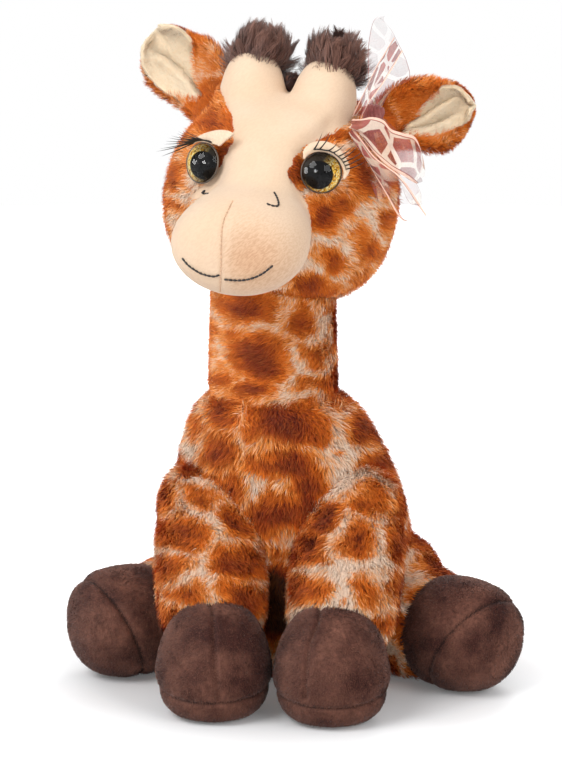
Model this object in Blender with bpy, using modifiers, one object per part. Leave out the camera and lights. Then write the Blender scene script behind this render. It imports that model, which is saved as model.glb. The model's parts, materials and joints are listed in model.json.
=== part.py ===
"""A seated plush giraffe, made as its sewn and stuffed pieces. Metres, +Z up, the toy faces -Y.

The origin lies on the floor between the four hooves. "left" is the side at -X, "right" the side at +X.
"""

import math

import bmesh
import bpy
from mathutils import Matrix, Vector

SIDES = {"left": -1, "right": 1}
DEGREE = math.pi / 180

# Clearances
GAP = 0.0003  # between two pieces that touch
SEAM_GAP = 0.0006  # round a stuffed end that turns in its seam
FLAT_DEPTH = 0.0005  # how far a stuffed form is pressed flat by the floor
OVERRUN = 0.02  # how far a cutter passes the piece it cuts

# Smoothness of the stuffed forms
BALL_STEPS = 16
BALL_RINGS = 10
SMALL_BALL_STEPS = 12
SMALL_BALL_RINGS = 6
TURN_STEPS = 18
NECK_STEPS = 24
LIMB_CORNERS = 10
BODY_CORNERS = 12
SWING_STEPS = 3  # places at which a limb cuts the channel that it swings in

# Body, from the seat to the neck's seam
BODY_HEIGHT = 0.132
BODY_WIDTH = 0.100
BODY_DEPTH = 0.086
BODY_SETBACK = 0.024  # the seat's middle lies this far behind the neck
BODY_LEAN = 0.008  # the toy slumps this far to its left at the neck
# height, setback, width and depth of each row of the body
BODY_ROW_SHARES = (
    (-0.035, 1.0, 0.66, 0.64),
    (0.09, 1.0, 0.96, 0.94),
    (0.36, 0.92, 1.09, 1.02),
    (0.64, 0.60, 0.99, 0.98),
    (0.84, 0.22, 0.82, 0.86),
    (1.0, 0.0, 0.62, 0.69),
    (1.15, 0.0, 0.55, 0.61),
)

# Granule bag that weighs the seat down, in its pocket behind the hips
BAG_WIDTH = 0.024
BAG_DEPTH = 0.020
BAG_HEIGHT = 0.030
BAG_SETBACK = 0.044
BAG_LIFT = 0.026
CLOSING_SEAM_WIDTH = 0.0012
CLOSING_SEAM_LENGTH = 0.018

# Neck
NECK_SEAM_RISE = 0.002  # the neck's pivot over the body's top
NECK_SEAM_HEIGHT = BODY_HEIGHT + NECK_SEAM_RISE
NECK_LENGTH = 0.044
NECK_RADIUS = 0.0280
NECK_TOP_RADIUS = 0.0265
NECK_RIM_DROP = 0.0065  # the body's rim lies this far under the neck's pivot

# Head
HEAD_WIDTH = 0.099
HEAD_DEPTH = 0.086
HEAD_HEIGHT = 0.089
HEAD_DROP = 0.007  # the head's lowest row under its seam with the neck
HEAD_OFFSET = 0.002  # the head's middle beside the neck's axis
HEAD_YAW = -6.5 * DEGREE
HEAD_ROLL = 3.5 * DEGREE
HEAD_ROW_SHARES = (
    (0.0, 0.04, 0.50, 0.52),
    (0.13, 0.03, 0.86, 0.86),
    (0.36, 0.0, 1.02, 1.0),
    (0.60, 0.0, 0.98, 0.98),
    (0.82, 0.03, 0.80, 0.82),
    (1.0, 0.05, 0.44, 0.46),
)

# Pale face: the muzzle, and the bridge that runs up to the horns
MUZZLE_WIDTH = 0.057
MUZZLE_HEIGHT = 0.043
MUZZLE_REACH = 0.084  # from the neck's axis to the nose
MUZZLE_LIFT = 0.023  # the muzzle's middle over the head's seam
# reach, lift, width and height of each row of the muzzle
MUZZLE_ROW_SHARES = (
    (0.25, 0.20, 0.60, 0.70),
    (0.50, 0.12, 0.86, 0.98),
    (0.70, 0.02, 1.02, 1.02),
    (0.86, -0.02, 0.94, 0.88),
    (0.97, -0.03, 0.62, 0.54),
)
BRIDGE_WIDTH = 0.030
BRIDGE_DEPTH = 0.022
BRIDGE_LENGTH = 0.054
# height over the muzzle's middle, reach, width and depth of each row of the bridge
BRIDGE_ROW_SHARES = (
    (0.0, 0.64, 1.45, 1.40),
    (0.34, 0.51, 1.08, 1.25),
    (0.60, 0.41, 0.86, 1.0),
    (0.84, 0.33, 1.40, 1.0),
    (1.04, 0.22, 1.60, 1.15),
)

# Horns, with their tufts
HORN_RADIUS = 0.0148
HORN_TIP_HEIGHT = 0.098  # over the head's seam
HORN_LENGTH = 0.046
HORN_SPREAD = 0.0165  # from the head's middle to the horn's axis at its tip
HORN_SETBACK = 0.001
HORN_SPLAY = 5 * DEGREE
HORN_PITCH = 14 * DEGREE
# distance down from the tip and radius of a horn
HORN_PROFILE_SHARES = (
    (0.0, 0.0), (0.02, 0.42), (0.09, 0.76), (0.20, 0.95), (0.36, 1.0), (0.62, 1.04), (1.0, 1.10),
)
TUFT_RADIUS = 0.0145
TUFT_HEIGHT = 0.026
TUFT_OVERLAP = 0.010  # how far the tuft reaches down round the horn's tip
TUFT_SETBACK = 0.004
# distance down from the tuft's top and radius
TUFT_PROFILE_SHARES = (
    (0.0, 0.0), (0.03, 0.55), (0.18, 0.88), (0.42, 1.0), (0.68, 0.92), (0.90, 0.62), (1.0, 0.0),
)

# Mane, a fur strip down the back of the head and the neck
MANE_RADIUS = 0.0055
MANE_BACK_SHARES = ((0.12, 1.02), (0.62, 0.93), (0.92, 0.66), (1.0, 0.36))
NECK_MANE_LOW_SHARE = 0.18  # of the neck's length
NECK_MANE_HIGH_SHARE = 0.70

# Ears
EAR_LENGTH = 0.046
EAR_WIDTH = 0.034
EAR_THICKNESS = 0.011
EAR_BALL_RADIUS = 0.0085
EAR_SPREAD_SHARE = 0.3586  # of the head's width
EAR_SPREAD = EAR_SPREAD_SHARE * HEAD_WIDTH
EAR_SETBACK = 0.012
EAR_LIFT = 0.068
EAR_RAISE = {"left": 50 * DEGREE, "right": 14 * DEGREE}
# distance along the ear, width and thickness of each row
EAR_ROW_SHARES = (
    (0.02, 0.44, 0.90),
    (0.24, 0.66, 1.0),
    (0.50, 0.98, 0.90),
    (0.76, 0.92, 0.74),
    (0.97, 0.46, 0.50),
)
LINING_SHARE = 0.80
LINING_THICKNESS = 0.0036

# Safety eyes with their lock washers
EYE_RADIUS = 0.0086
EYE_DOME = 0.0062
EYE_FLANGE = 0.0012
EYE_STEM_RADIUS = 0.0020
EYE_STEM_LENGTH = 0.013
EYE_SPREAD_SHARE = 0.2525  # of the head's width
EYE_SPREAD = EYE_SPREAD_SHARE * HEAD_WIDTH
EYE_REACH = 0.0365
EYE_LIFT = 0.0515
EYE_TOE_OUT = 24 * DEGREE
EYE_TILT_UP = 6 * DEGREE
WASHER_RADIUS = 0.0070
WASHER_THICKNESS = 0.0015
WASHER_DEPTH = 0.0050

# Eyelids and lashes
LID_RADIUS = 0.0090
LID_THICKNESS = 0.0008
LID_SPREAD = 62 * DEGREE
LID_FRONT = 46 * DEGREE
LID_BACK = 84 * DEGREE
LID_TURN = {"left": -20 * DEGREE, "right": 8 * DEGREE}
LID_COLUMNS = 8
LID_ROWS = 3
LASH_TURN = {"left": -24 * DEGREE, "right": 4 * DEGREE}  # on from the lid
LASH_COUNT = 9
LASH_LENGTH = 0.0125
LASH_PARTS = 2
LASH_BAND = 0.0008
LASH_SPREAD = 52 * DEGREE
LASH_TIP_SHARE = 0.25
LASH_LEAN_SHARE = 0.45
LASH_END_SHARE = 0.8  # length of the first and last lash
LASH_MIDDLE_SHARE = 0.4  # how much longer the middle lashes are
LASH_ROOT_SHARE = 0.25  # how far behind the lid's front edge they are rooted

# Stitched nostrils and mouth
THREAD_RADIUS = 0.0004
MOUTH_SHARES = {
    "left": ((-0.72, -0.50), (-0.62, -0.62), (-0.48, -0.70), (-0.32, -0.74), (-0.18, -0.70)),
    "right": ((-0.06, -0.76), (0.12, -0.79), (0.30, -0.76), (0.46, -0.66), (0.60, -0.46)),
}
NOSTRIL_SHARES = {
    "left": ((-0.58, 0.82), (-0.50, 0.78), (-0.42, 0.81)),
    "right": ((0.44, 0.88), (0.51, 0.82), (0.53, 0.72), (0.44, 0.68), (0.37, 0.71)),
}

# Front legs
SHOULDER_SPREAD_SHARE = 0.295  # of the body's width
SHOULDER_SPREAD = SHOULDER_SPREAD_SHARE * BODY_WIDTH
SHOULDER_HEIGHT_SHARE = 0.5985  # of the body's height
SHOULDER_HEIGHT = SHOULDER_HEIGHT_SHARE * BODY_HEIGHT
SHOULDER_REACH = 0.010
LEG_RADIUS = 0.0230
FRONT_HOOF_SPREAD = 0.0250
FRONT_HOOF_REACH = 0.0580
FRONT_HOOF_WIDTH = 0.0480
FRONT_HOOF_DEPTH = 0.0460
FRONT_HOOF_HEIGHT = 0.0520
FRONT_ANKLE_HEIGHT = 0.031
FRONT_ANKLE_REACH = 0.045
FRONT_SWING = 25 * DEGREE
# share of the way from the shoulder to the ankle, and radius
LEG_ROW_SHARES = ((-0.20, 0.74), (0.02, 0.98), (0.34, 1.03), (0.70, 1.02), (1.08, 0.90))
# height, setback, width and depth of each row of a standing hoof
FRONT_HOOF_ROW_SHARES = (
    (-0.02, 0.0, 0.55, 0.56),
    (0.12, 0.0, 0.90, 0.92),
    (0.40, 0.0, 1.04, 1.04),
    (0.70, 0.02, 0.90, 0.90),
    (0.96, 0.06, 0.46, 0.46),
)
FRONT_SOLE_HEIGHT = 0.0135
FRONT_SOLE_PITCH = 13 * DEGREE

# Hind legs
HIP_SPREAD_SHARE = 0.36  # of the body's width
HIP_SPREAD = HIP_SPREAD_SHARE * BODY_WIDTH
HIP_SETBACK = 0.027
HIP_RADIUS = 0.0255
HIND_SPLAY = 52 * DEGREE
HIND_REACH = 0.048  # from the hip to the hoof's middle
HIND_HOOF_RADIUS = 0.0248
HIND_HOOF_LENGTH = 0.055
HIND_SWING_IN = 12 * DEGREE
HIND_SWING_OUT = 20 * DEGREE
HIND_SOLE_REACH = 0.007  # from the hoof's middle to the sole's seam
THIGH_ROW_SHARES = ((-0.10, 0.84), (0.18, 1.0), (0.58, 0.97), (0.88, 0.84))
# share of the hoof's length from its middle, and radius
HIND_HOOF_ROW_SHARES = ((-0.50, 0.55), (-0.34, 0.90), (-0.04, 1.03), (0.26, 0.95), (0.47, 0.56))

# Tail
TAIL_RADIUS = 0.0045
TAIL_BALL_RADIUS = 0.0065
TAIL_HEIGHT = 0.034
TAIL_LENGTH = 0.034
TAIL_SLOPE = 26 * DEGREE
TAIL_TUFT_LENGTH = 0.026
TAIL_TUFT_RADIUS = 0.0085
TAIL_SETBACK = 0.0665
# distance along the tuft and radius
TAIL_TUFT_SHARES = ((0.0, 0.0), (0.06, 0.60), (0.30, 0.95), (0.60, 1.0), (0.88, 0.60), (1.0, 0.0))

# Ribbon bow, at the foot of the right horn
BOW_SPREAD_SHARE = 0.399  # of the head's width
BOW_SPREAD = BOW_SPREAD_SHARE * HEAD_WIDTH
BOW_REACH = 0.0135
BOW_LIFT = 0.072
BOW_KNOT_WIDTH = 0.010
BOW_KNOT_HEIGHT = 0.012
BOW_KNOT_DEPTH = 0.008
BOW_THICKNESS = 0.0036
BOW_WIDTH = 0.020
BOW_UPPER_LENGTH = 0.040
BOW_SIDE_LENGTH = 0.026
BOW_LOWER_LENGTH = 0.044
BOW_TAIL_LENGTH = 0.030
BOW_UPPER_TURN = 4 * DEGREE
BOW_SIDE_TURN = 62 * DEGREE
BOW_LOWER_TURN = 148 * DEGREE
BOW_TAIL_TURN = 188 * DEGREE
BOW_SIDE_REACH = 0.0038
BOW_ROW_SHARES = ((0.0, 0.30, 0.80), (0.30, 0.78, 1.0), (0.72, 1.0, 1.0), (1.0, 0.74, 0.60))


def collection(name):
    found = bpy.data.collections.new(name)
    bpy.context.scene.collection.children.link(found)
    return found


def start():
    for obj in list(bpy.context.scene.objects):
        bpy.data.objects.remove(obj)
    return collection("plush_giraffe"), collection("cutters")


PARTS, CUTTERS = start()


def material(name, colour, roughness, metallic=0.0):
    made = bpy.data.materials.new(name)
    made.use_nodes = True
    shader = made.node_tree.nodes["Principled BSDF"]
    shader.inputs["Base Color"].default_value = (*colour, 1.0)
    shader.inputs["Roughness"].default_value = roughness
    shader.inputs["Metallic"].default_value = metallic
    made.diffuse_color = (*colour, 1.0)
    return made


PATCHED_FUR = ("patched_fur", (0.55, 0.17, 0.03), 0.9)
DARK_FUR = ("dark_fur", (0.06, 0.025, 0.02), 0.9)
PALE_PLUSH = ("pale_plush", (0.88, 0.68, 0.46), 0.85)
HOOF_PLUSH = ("hoof_plush", (0.09, 0.04, 0.032), 0.85)
GLOSSY_EYE = ("glossy_eye", (0.02, 0.02, 0.03), 0.1)
WHITE_PLASTIC = ("white_plastic", (0.8, 0.8, 0.78), 0.5)
BLACK_FIBRE = ("black_fibre", (0.01, 0.01, 0.01), 0.6)
RIBBON = ("ribbon", (0.55, 0.22, 0.20), 0.4)
GRANULE_CLOTH = ("granule_cloth", (0.75, 0.72, 0.66), 0.8)


def add_object(name, mesh, finish, parent=None):
    """A part with its own material, or a cutter where finish is None."""
    obj = bpy.data.objects.new(name, mesh)
    obj.parent = parent
    if finish is None:
        CUTTERS.objects.link(obj)
        obj.hide_render = True
        obj.display_type = "WIRE"
        return obj
    PARTS.objects.link(obj)
    kind, colour, roughness = finish
    mesh.materials.append(material(f"{name}_{kind}", colour, roughness))
    mesh.shade_smooth()
    return obj


def pivot(name, place, parent=None):
    """An empty on a joint's axis, which carries the pieces that move with it."""
    empty = bpy.data.objects.new(name, None)
    empty.parent = parent
    empty.matrix_local = place
    PARTS.objects.link(empty)
    bpy.context.view_layer.update()
    return empty


def mesh_of(name, bm):
    mesh = bpy.data.meshes.new(name)
    bm.to_mesh(mesh)
    bm.free()
    return mesh


def stuffed(name, rows, finish, parent=None, place=Matrix(), grow=0.0, corners=8, levels=2):
    """A stuffed form: a coarse cage of rows (along, x, y, half width, half depth), smoothed.

    grow pushes the whole form outwards, which makes the cutter that leaves a gap round it.
    """
    drawn_in = (2 + math.cos(2 * math.pi / corners)) / 3
    bm = bmesh.new()
    rings = []
    for number, (along, x, y, half_width, half_depth) in enumerate(rows):
        end = (number == len(rows) - 1) - (number == 0)
        ring = []
        for corner in range(corners):
            turn = 2 * math.pi * (corner + 0.5) / corners
            across = (half_width + grow) / drawn_in * math.cos(turn)
            deep = (half_depth + grow) / drawn_in * math.sin(turn)
            ring.append(bm.verts.new(place @ Vector((x + across, y + deep, along + end * grow))))
        rings.append(ring)
    for lower, upper in zip(rings, rings[1:]):
        for this in range(corners):
            after = (this + 1) % corners
            bm.faces.new((lower[this], lower[after], upper[after], upper[this]))
    bm.faces.new(list(reversed(rings[0])))
    bm.faces.new(rings[-1])
    obj = add_object(name, mesh_of(name, bm), finish, parent)
    smooth = obj.modifiers.new("stuffing", "SUBSURF")
    smooth.levels = levels
    smooth.render_levels = levels
    return obj


def limb(name, rows, finish, parent, place, grow=0.0):
    """A stuffed form of the coarser kind that the legs and hooves are made of."""
    return stuffed(name, rows, finish, parent, place, grow, LIMB_CORNERS, 1)


def turned(name, profile, finish, parent=None, place=Matrix(), closed=False, steps=TURN_STEPS):
    """A round form: the profile (radius, height), top to bottom, turned about its own Z axis."""
    bm = bmesh.new()
    points = [bm.verts.new((radius, 0, height)) for radius, height in profile]
    for upper, lower in zip(points, points[1:]):
        bm.edges.new((upper, lower))
    if closed:
        bm.edges.new((points[-1], points[0]))
    obj = add_object(name, mesh_of(name, bm), finish, parent)
    obj.matrix_local = place
    screw = obj.modifiers.new("turn", "SCREW")
    screw.steps = steps
    screw.render_steps = steps
    screw.use_merge_vertices = True
    screw.merge_threshold = GAP / BALL_STEPS
    return obj


def arc(radius, first, last, height=0.0, count=8):
    """Points (radius, height) of an arc about the Z axis, angles from +X in radians."""
    turns = [first + (last - first) * step / count for step in range(count + 1)]
    points = [(radius * math.cos(turn), height + radius * math.sin(turn)) for turn in turns]
    return [(max(x, 0) if abs(x) > GAP / 10 else 0, z) for x, z in points]


def ball(name, radius, parent, axis="Z", small=False):
    """A round end or the cutter of its socket, turned about the axis that its joint turns about."""
    lay = {"X": Matrix.Rotation(math.pi / 2, 4, "Y"), "Y": Matrix.Rotation(math.pi / 2, 4, "X")}
    profile = arc(radius, math.pi / 2, -math.pi / 2, count=SMALL_BALL_RINGS if small else BALL_RINGS)
    steps = SMALL_BALL_STEPS if small else BALL_STEPS
    return turned(name, profile, None, parent, lay.get(axis, Matrix()), steps=steps)


def tube(name, points, radius, finish, parent=None, tapers=None, resolution=1):
    """A cord or strip of round section through the points, as a closed mesh."""
    data = bpy.data.curves.new(name, "CURVE")
    data.dimensions = "3D"
    data.bevel_depth = radius
    data.bevel_resolution = resolution
    data.use_fill_caps = True
    spline = data.splines.new("POLY")
    spline.points.add(len(points) - 1)
    for number, point in enumerate(points):
        spline.points[number].co = (*point, 1)
        spline.points[number].radius = tapers[number] if tapers else 1
    curve = bpy.data.objects.new(f"{name}_route", data)
    CUTTERS.objects.link(curve)
    bpy.context.view_layer.update()
    evaluated = curve.evaluated_get(bpy.context.evaluated_depsgraph_get())
    mesh = bpy.data.meshes.new_from_object(evaluated)
    bpy.data.objects.remove(curve)
    bm = bmesh.new()
    bm.from_mesh(mesh)
    bmesh.ops.remove_doubles(bm, verts=bm.verts, dist=GAP / 10)
    bmesh.ops.recalc_face_normals(bm, faces=bm.faces)
    bm.to_mesh(mesh)
    bm.free()
    return add_object(name, mesh, finish, parent)


def smooth_route(points, steps=3):
    """Points on a smooth curve through the given ones."""
    padded = [points[0], *points, points[-1]]
    route = []
    for a, b, c, d in zip(padded, padded[1:], padded[2:], padded[3:]):
        for step in range(steps):
            t = step / steps
            pull = (c - a) * t + (2 * a - 5 * b + 4 * c - d) * t**2 + (3 * b - a - 3 * c + d) * t**3
            route.append(b + pull / 2)
    return [*route, points[-1]]


def box(name, low, high, finish=None, parent=None, place=Matrix()):
    bm = bmesh.new()
    bmesh.ops.create_cube(bm, size=1)
    middle = (Vector(low) + Vector(high)) / 2
    size = Vector(high) - Vector(low)
    for vertex in bm.verts:
        vertex.co = place @ (middle + Vector(a * b for a, b in zip(vertex.co, size)))
    return add_object(name, mesh_of(name, bm), finish, parent)


def boolean(obj, other, operation):
    step = obj.modifiers.new(f"{operation.lower()}_{other.name}", "BOOLEAN")
    step.operation = operation
    step.solver = "EXACT"
    step.object = other


def cut(obj, *cutters):
    for cutter in cutters:
        boolean(obj, cutter, "DIFFERENCE")


def join(obj, *others):
    for other in others:
        boolean(obj, other, "UNION")


def towards(start_point, end_point, up=Vector((0, 1, 0))):
    """A frame at the start, its Z axis pointing at the end and its Y axis near up."""
    forward = (Vector(end_point) - Vector(start_point)).normalized()
    across = Vector(up).cross(forward).normalized()
    upwards = forward.cross(across)
    frame = Matrix((across, upwards, forward)).transposed().to_4x4()
    frame.translation = start_point
    return frame


def floor_cutter():
    reach = BODY_HEIGHT + OVERRUN
    return box("floor_cutter", (-reach, -reach, -OVERRUN), (reach, reach, 0))


def body_rows():
    return [
        (
            up * BODY_HEIGHT,
            -BODY_LEAN * up**2,
            BODY_SETBACK * back,
            BODY_WIDTH / 2 * wide,
            BODY_DEPTH / 2 * deep,
        )
        for up, back, wide, deep in BODY_ROW_SHARES
    ]


def ellipsoid_rows(width, depth, height, shares):
    """Rows of an egg centred on its frame: shares of its height and of its radii."""
    return [(height * up, 0, 0, width / 2 * wide, depth / 2 * wide) for up, wide in shares]


def build_body(floor):
    body = stuffed("body", body_rows(), PATCHED_FUR, corners=BODY_CORNERS, levels=1)
    rim = NECK_SEAM_HEIGHT - NECK_RIM_DROP
    top = box("body_rim_cutter", (-BODY_WIDTH, -BODY_WIDTH, rim), (BODY_WIDTH, BODY_WIDTH, rim + BODY_WIDTH))
    socket = turned("neck_socket_cutter", neck_profile(SEAM_GAP), None, None, neck_place(), steps=NECK_STEPS)
    cut(body, floor, top, socket)
    return body


BAG_EGG_SHARES = ((-0.5, 0.55), (-0.30, 0.92), (0.0, 1.03), (0.30, 0.92), (0.5, 0.55))


def build_granule_bag(body):
    place = Matrix.Translation((0, BAG_SETBACK, BAG_LIFT))
    rows = ellipsoid_rows(BAG_WIDTH, BAG_DEPTH, BAG_HEIGHT, BAG_EGG_SHARES)
    stuffed("granule_bag", rows, GRANULE_CLOTH, place=place, levels=1)
    pocket = stuffed("bag_pocket_cutter", rows, None, place=place, grow=GAP, levels=1)
    half_slit = CLOSING_SEAM_WIDTH / 2
    half_length = CLOSING_SEAM_LENGTH / 2
    slit = box(
        "closing_seam_cutter",
        (-half_slit, BAG_SETBACK, BAG_LIFT - half_length),
        (half_slit, BAG_SETBACK + BODY_DEPTH, BAG_LIFT + half_length),
    )
    cut(body, pocket, slit)


def neck_place():
    return Matrix.Translation((-BODY_LEAN, 0, NECK_SEAM_HEIGHT))


def neck_profile(grow):
    """The neck's outline, a round end at each seam, down its outer side."""
    upper = arc(NECK_TOP_RADIUS + grow, math.pi / 2, 0, NECK_LENGTH)
    lower = arc(NECK_RADIUS + grow, 0, -math.pi / 2)
    return [*upper, *lower]


def build_neck():
    nod = pivot("neck_pivot", neck_place())
    turned("neck", neck_profile(0), PATCHED_FUR, nod, steps=NECK_STEPS)
    low = NECK_MANE_LOW_SHARE * NECK_LENGTH
    high = NECK_MANE_HIGH_SHARE * NECK_LENGTH
    steps = 4
    heights = [low + (high - low) * step / steps for step in range(steps + 1)]
    route = [Vector((0, NECK_RADIUS, height)) for height in heights]
    mane = tube("neck_mane", route, MANE_RADIUS, DARK_FUR, nod)
    cut(mane, turned("neck_mane_cutter", neck_profile(GAP), None, nod, steps=NECK_STEPS))
    return nod


def head_rows():
    return [
        (
            up * HEAD_HEIGHT - HEAD_DROP,
            0,
            HEAD_DEPTH * back,
            HEAD_WIDTH / 2 * wide,
            HEAD_DEPTH / 2 * deep,
        )
        for up, back, wide, deep in HEAD_ROW_SHARES
    ]


def build_head(nod):
    """The head's fur skin with its filling, and the frame that its pieces share."""
    turn = pivot("head_pivot", Matrix.Translation((0, 0, NECK_LENGTH)), nod)
    posed = (
        Matrix.Rotation(HEAD_YAW, 4, "Z")
        @ Matrix.Translation((HEAD_OFFSET, 0, 0))
        @ Matrix.Rotation(HEAD_ROLL, 4, "Y")
    )
    frame = pivot("head_frame", posed, turn)
    head = stuffed("head", head_rows(), PATCHED_FUR, frame)
    cut(head, turned("head_socket_cutter", neck_profile(SEAM_GAP), None, nod, steps=NECK_STEPS))
    skull = stuffed("skull_cutter", head_rows(), None, frame, grow=GAP)
    return head, skull, frame


def horn_place(side):
    tip = Vector((side * HORN_SPREAD, HORN_SETBACK, HORN_TIP_HEIGHT))
    lean = Matrix.Rotation(side * HORN_SPLAY, 4, "Y") @ Matrix.Rotation(HORN_PITCH, 4, "X")
    return Matrix.Translation(tip) @ lean.inverted() @ Matrix.Rotation(2 * side * HORN_SPLAY, 4, "Y")


def horn_profile(grow):
    profile = [(HORN_RADIUS * wide, -HORN_LENGTH * down) for down, wide in HORN_PROFILE_SHARES]
    inner = [(radius + grow, height) for radius, height in profile[1:]]
    return [(0, grow), *inner, (0, profile[-1][1])]


def tuft_profile():
    lift = TUFT_HEIGHT - TUFT_OVERLAP
    return [(TUFT_RADIUS * wide, lift - TUFT_HEIGHT * down) for down, wide in TUFT_PROFILE_SHARES]


def build_horns(skull, frame, face):
    """Both horns with their tufts; gives back the forms that leave a gap round the horns."""
    forms = []
    for name, side in SIDES.items():
        place = horn_place(side)
        horn = turned(f"horn_{name}", horn_profile(0), PALE_PLUSH, frame, place)
        cut(horn, skull)
        grown = turned(f"horn_cutter_{name}", horn_profile(GAP), None, frame, place)
        cut(face, grown)
        behind = place @ Matrix.Translation((0, TUFT_SETBACK, 0))
        tuft = turned(f"horn_tuft_{name}", tuft_profile(), DARK_FUR, frame, behind)
        cut(tuft, grown)
        forms.append(grown)
    return forms


def build_face(skull, frame):
    forwards = towards((0, 0, MUZZLE_LIFT), (0, -MUZZLE_REACH, MUZZLE_LIFT), up=Vector((0, 0, 1)))
    muzzle_rows = [
        (MUZZLE_REACH * reach, 0, MUZZLE_HEIGHT * up, MUZZLE_WIDTH / 2 * wide, MUZZLE_HEIGHT / 2 * high)
        for reach, up, wide, high in MUZZLE_ROW_SHARES
    ]
    face = stuffed("face", muzzle_rows, PALE_PLUSH, frame, forwards)
    bridge_rows = [
        (
            MUZZLE_LIFT + BRIDGE_LENGTH * up,
            0,
            -MUZZLE_REACH * reach,
            BRIDGE_WIDTH / 2 * wide,
            BRIDGE_DEPTH / 2 * deep,
        )
        for up, reach, wide, deep in BRIDGE_ROW_SHARES
    ]
    bridge = stuffed("bridge_cutter", bridge_rows, None, frame, corners=LIMB_CORNERS, levels=1)
    join(face, bridge)
    cut(face, skull)
    return face


def build_head_mane(skull, horns, frame):
    half = HEAD_DEPTH / 2
    backs = [
        Vector((0, half * back, HEAD_HEIGHT * up - HEAD_DROP)) for back, up in MANE_BACK_SHARES
    ]
    mane = tube("head_mane", smooth_route(backs), MANE_RADIUS, DARK_FUR, frame)
    cut(mane, skull, *horns)


def eye_place(side):
    spot = Matrix.Translation((side * EYE_SPREAD, -EYE_REACH, EYE_LIFT))
    aside = Matrix.Rotation(side * EYE_TOE_OUT, 4, "Z")
    forwards = Matrix.Rotation(math.pi / 2 - EYE_TILT_UP, 4, "X")
    return spot @ aside @ forwards


def eye_profile(grow):
    """A domed eye on its stem, down its outer side."""
    curve = (EYE_RADIUS**2 + (EYE_DOME - EYE_FLANGE) ** 2) / (2 * (EYE_DOME - EYE_FLANGE))
    reach = math.asin(EYE_RADIUS / curve)
    dome = arc(curve + grow, math.pi / 2, math.pi / 2 - reach, EYE_DOME - curve, count=5)
    back = [(EYE_RADIUS + grow, -grow), (EYE_STEM_RADIUS + grow, -grow)]
    stem = [(EYE_STEM_RADIUS + grow, -EYE_STEM_LENGTH - grow), (0, -EYE_STEM_LENGTH - grow)]
    return [*dome, *back, *stem]


def washer_profile(inner, outer, upper, lower):
    return [(inner, upper), (outer, upper), (outer, lower), (inner, lower)]


def build_eyes(head, face, frame):
    for name, side in SIDES.items():
        place = eye_place(side)
        turned(f"eye_{name}", eye_profile(0), GLOSSY_EYE, frame, place)
        recess = turned(f"eye_cutter_{name}", eye_profile(GAP), None, frame, place)
        top = -WASHER_DEPTH
        low = top - WASHER_THICKNESS
        ring = washer_profile(EYE_STEM_RADIUS + GAP, WASHER_RADIUS, top, low)
        turned(f"eye_washer_{name}", ring, WHITE_PLASTIC, frame, place, closed=True)
        wide = WASHER_RADIUS + GAP
        room = [(0, top + GAP), (wide, top + GAP), (wide, low - GAP), (0, low - GAP)]
        pocket = turned(f"washer_cutter_{name}", room, None, frame, place)
        cut(head, recess, pocket)
        cut(face, recess)


def lid_point(place, radius, around, out):
    """A point over the eye: around turns from the top, out turns from the eye's axis."""
    flat = Vector((math.sin(around) * math.sin(out), math.cos(around) * math.sin(out), math.cos(out)))
    return place @ (flat * radius)


def build_lids(skull, frame):
    """A felt lid over each eye, with the lash band along its front edge."""
    for name, side in SIDES.items():
        place = eye_place(side) @ Matrix.Rotation(-LID_TURN[name], 4, "Z")
        bm = bmesh.new()
        grid = []
        for column in range(LID_COLUMNS + 1):
            around = LID_SPREAD * (2 * column / LID_COLUMNS - 1)
            line = []
            for row in range(LID_ROWS + 1):
                out = LID_FRONT + (LID_BACK - LID_FRONT) * row / LID_ROWS
                line.append(bm.verts.new(lid_point(place, LID_RADIUS, around, out)))
            grid.append(line)
        for this, after in zip(grid, grid[1:]):
            for row in range(LID_ROWS):
                bm.faces.new((this[row], this[row + 1], after[row + 1], after[row]))
        bmesh.ops.recalc_face_normals(bm, faces=bm.faces)
        lid = add_object(f"eyelid_{name}", mesh_of(f"eyelid_{name}", bm), PALE_PLUSH, frame)
        thick = lid.modifiers.new("felt", "SOLIDIFY")
        thick.thickness = LID_THICKNESS
        thick.offset = 1
        cut(lid, skull)
        build_lash(name, side, place @ Matrix.Rotation(-LASH_TURN[name], 4, "Z"), frame)


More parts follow.
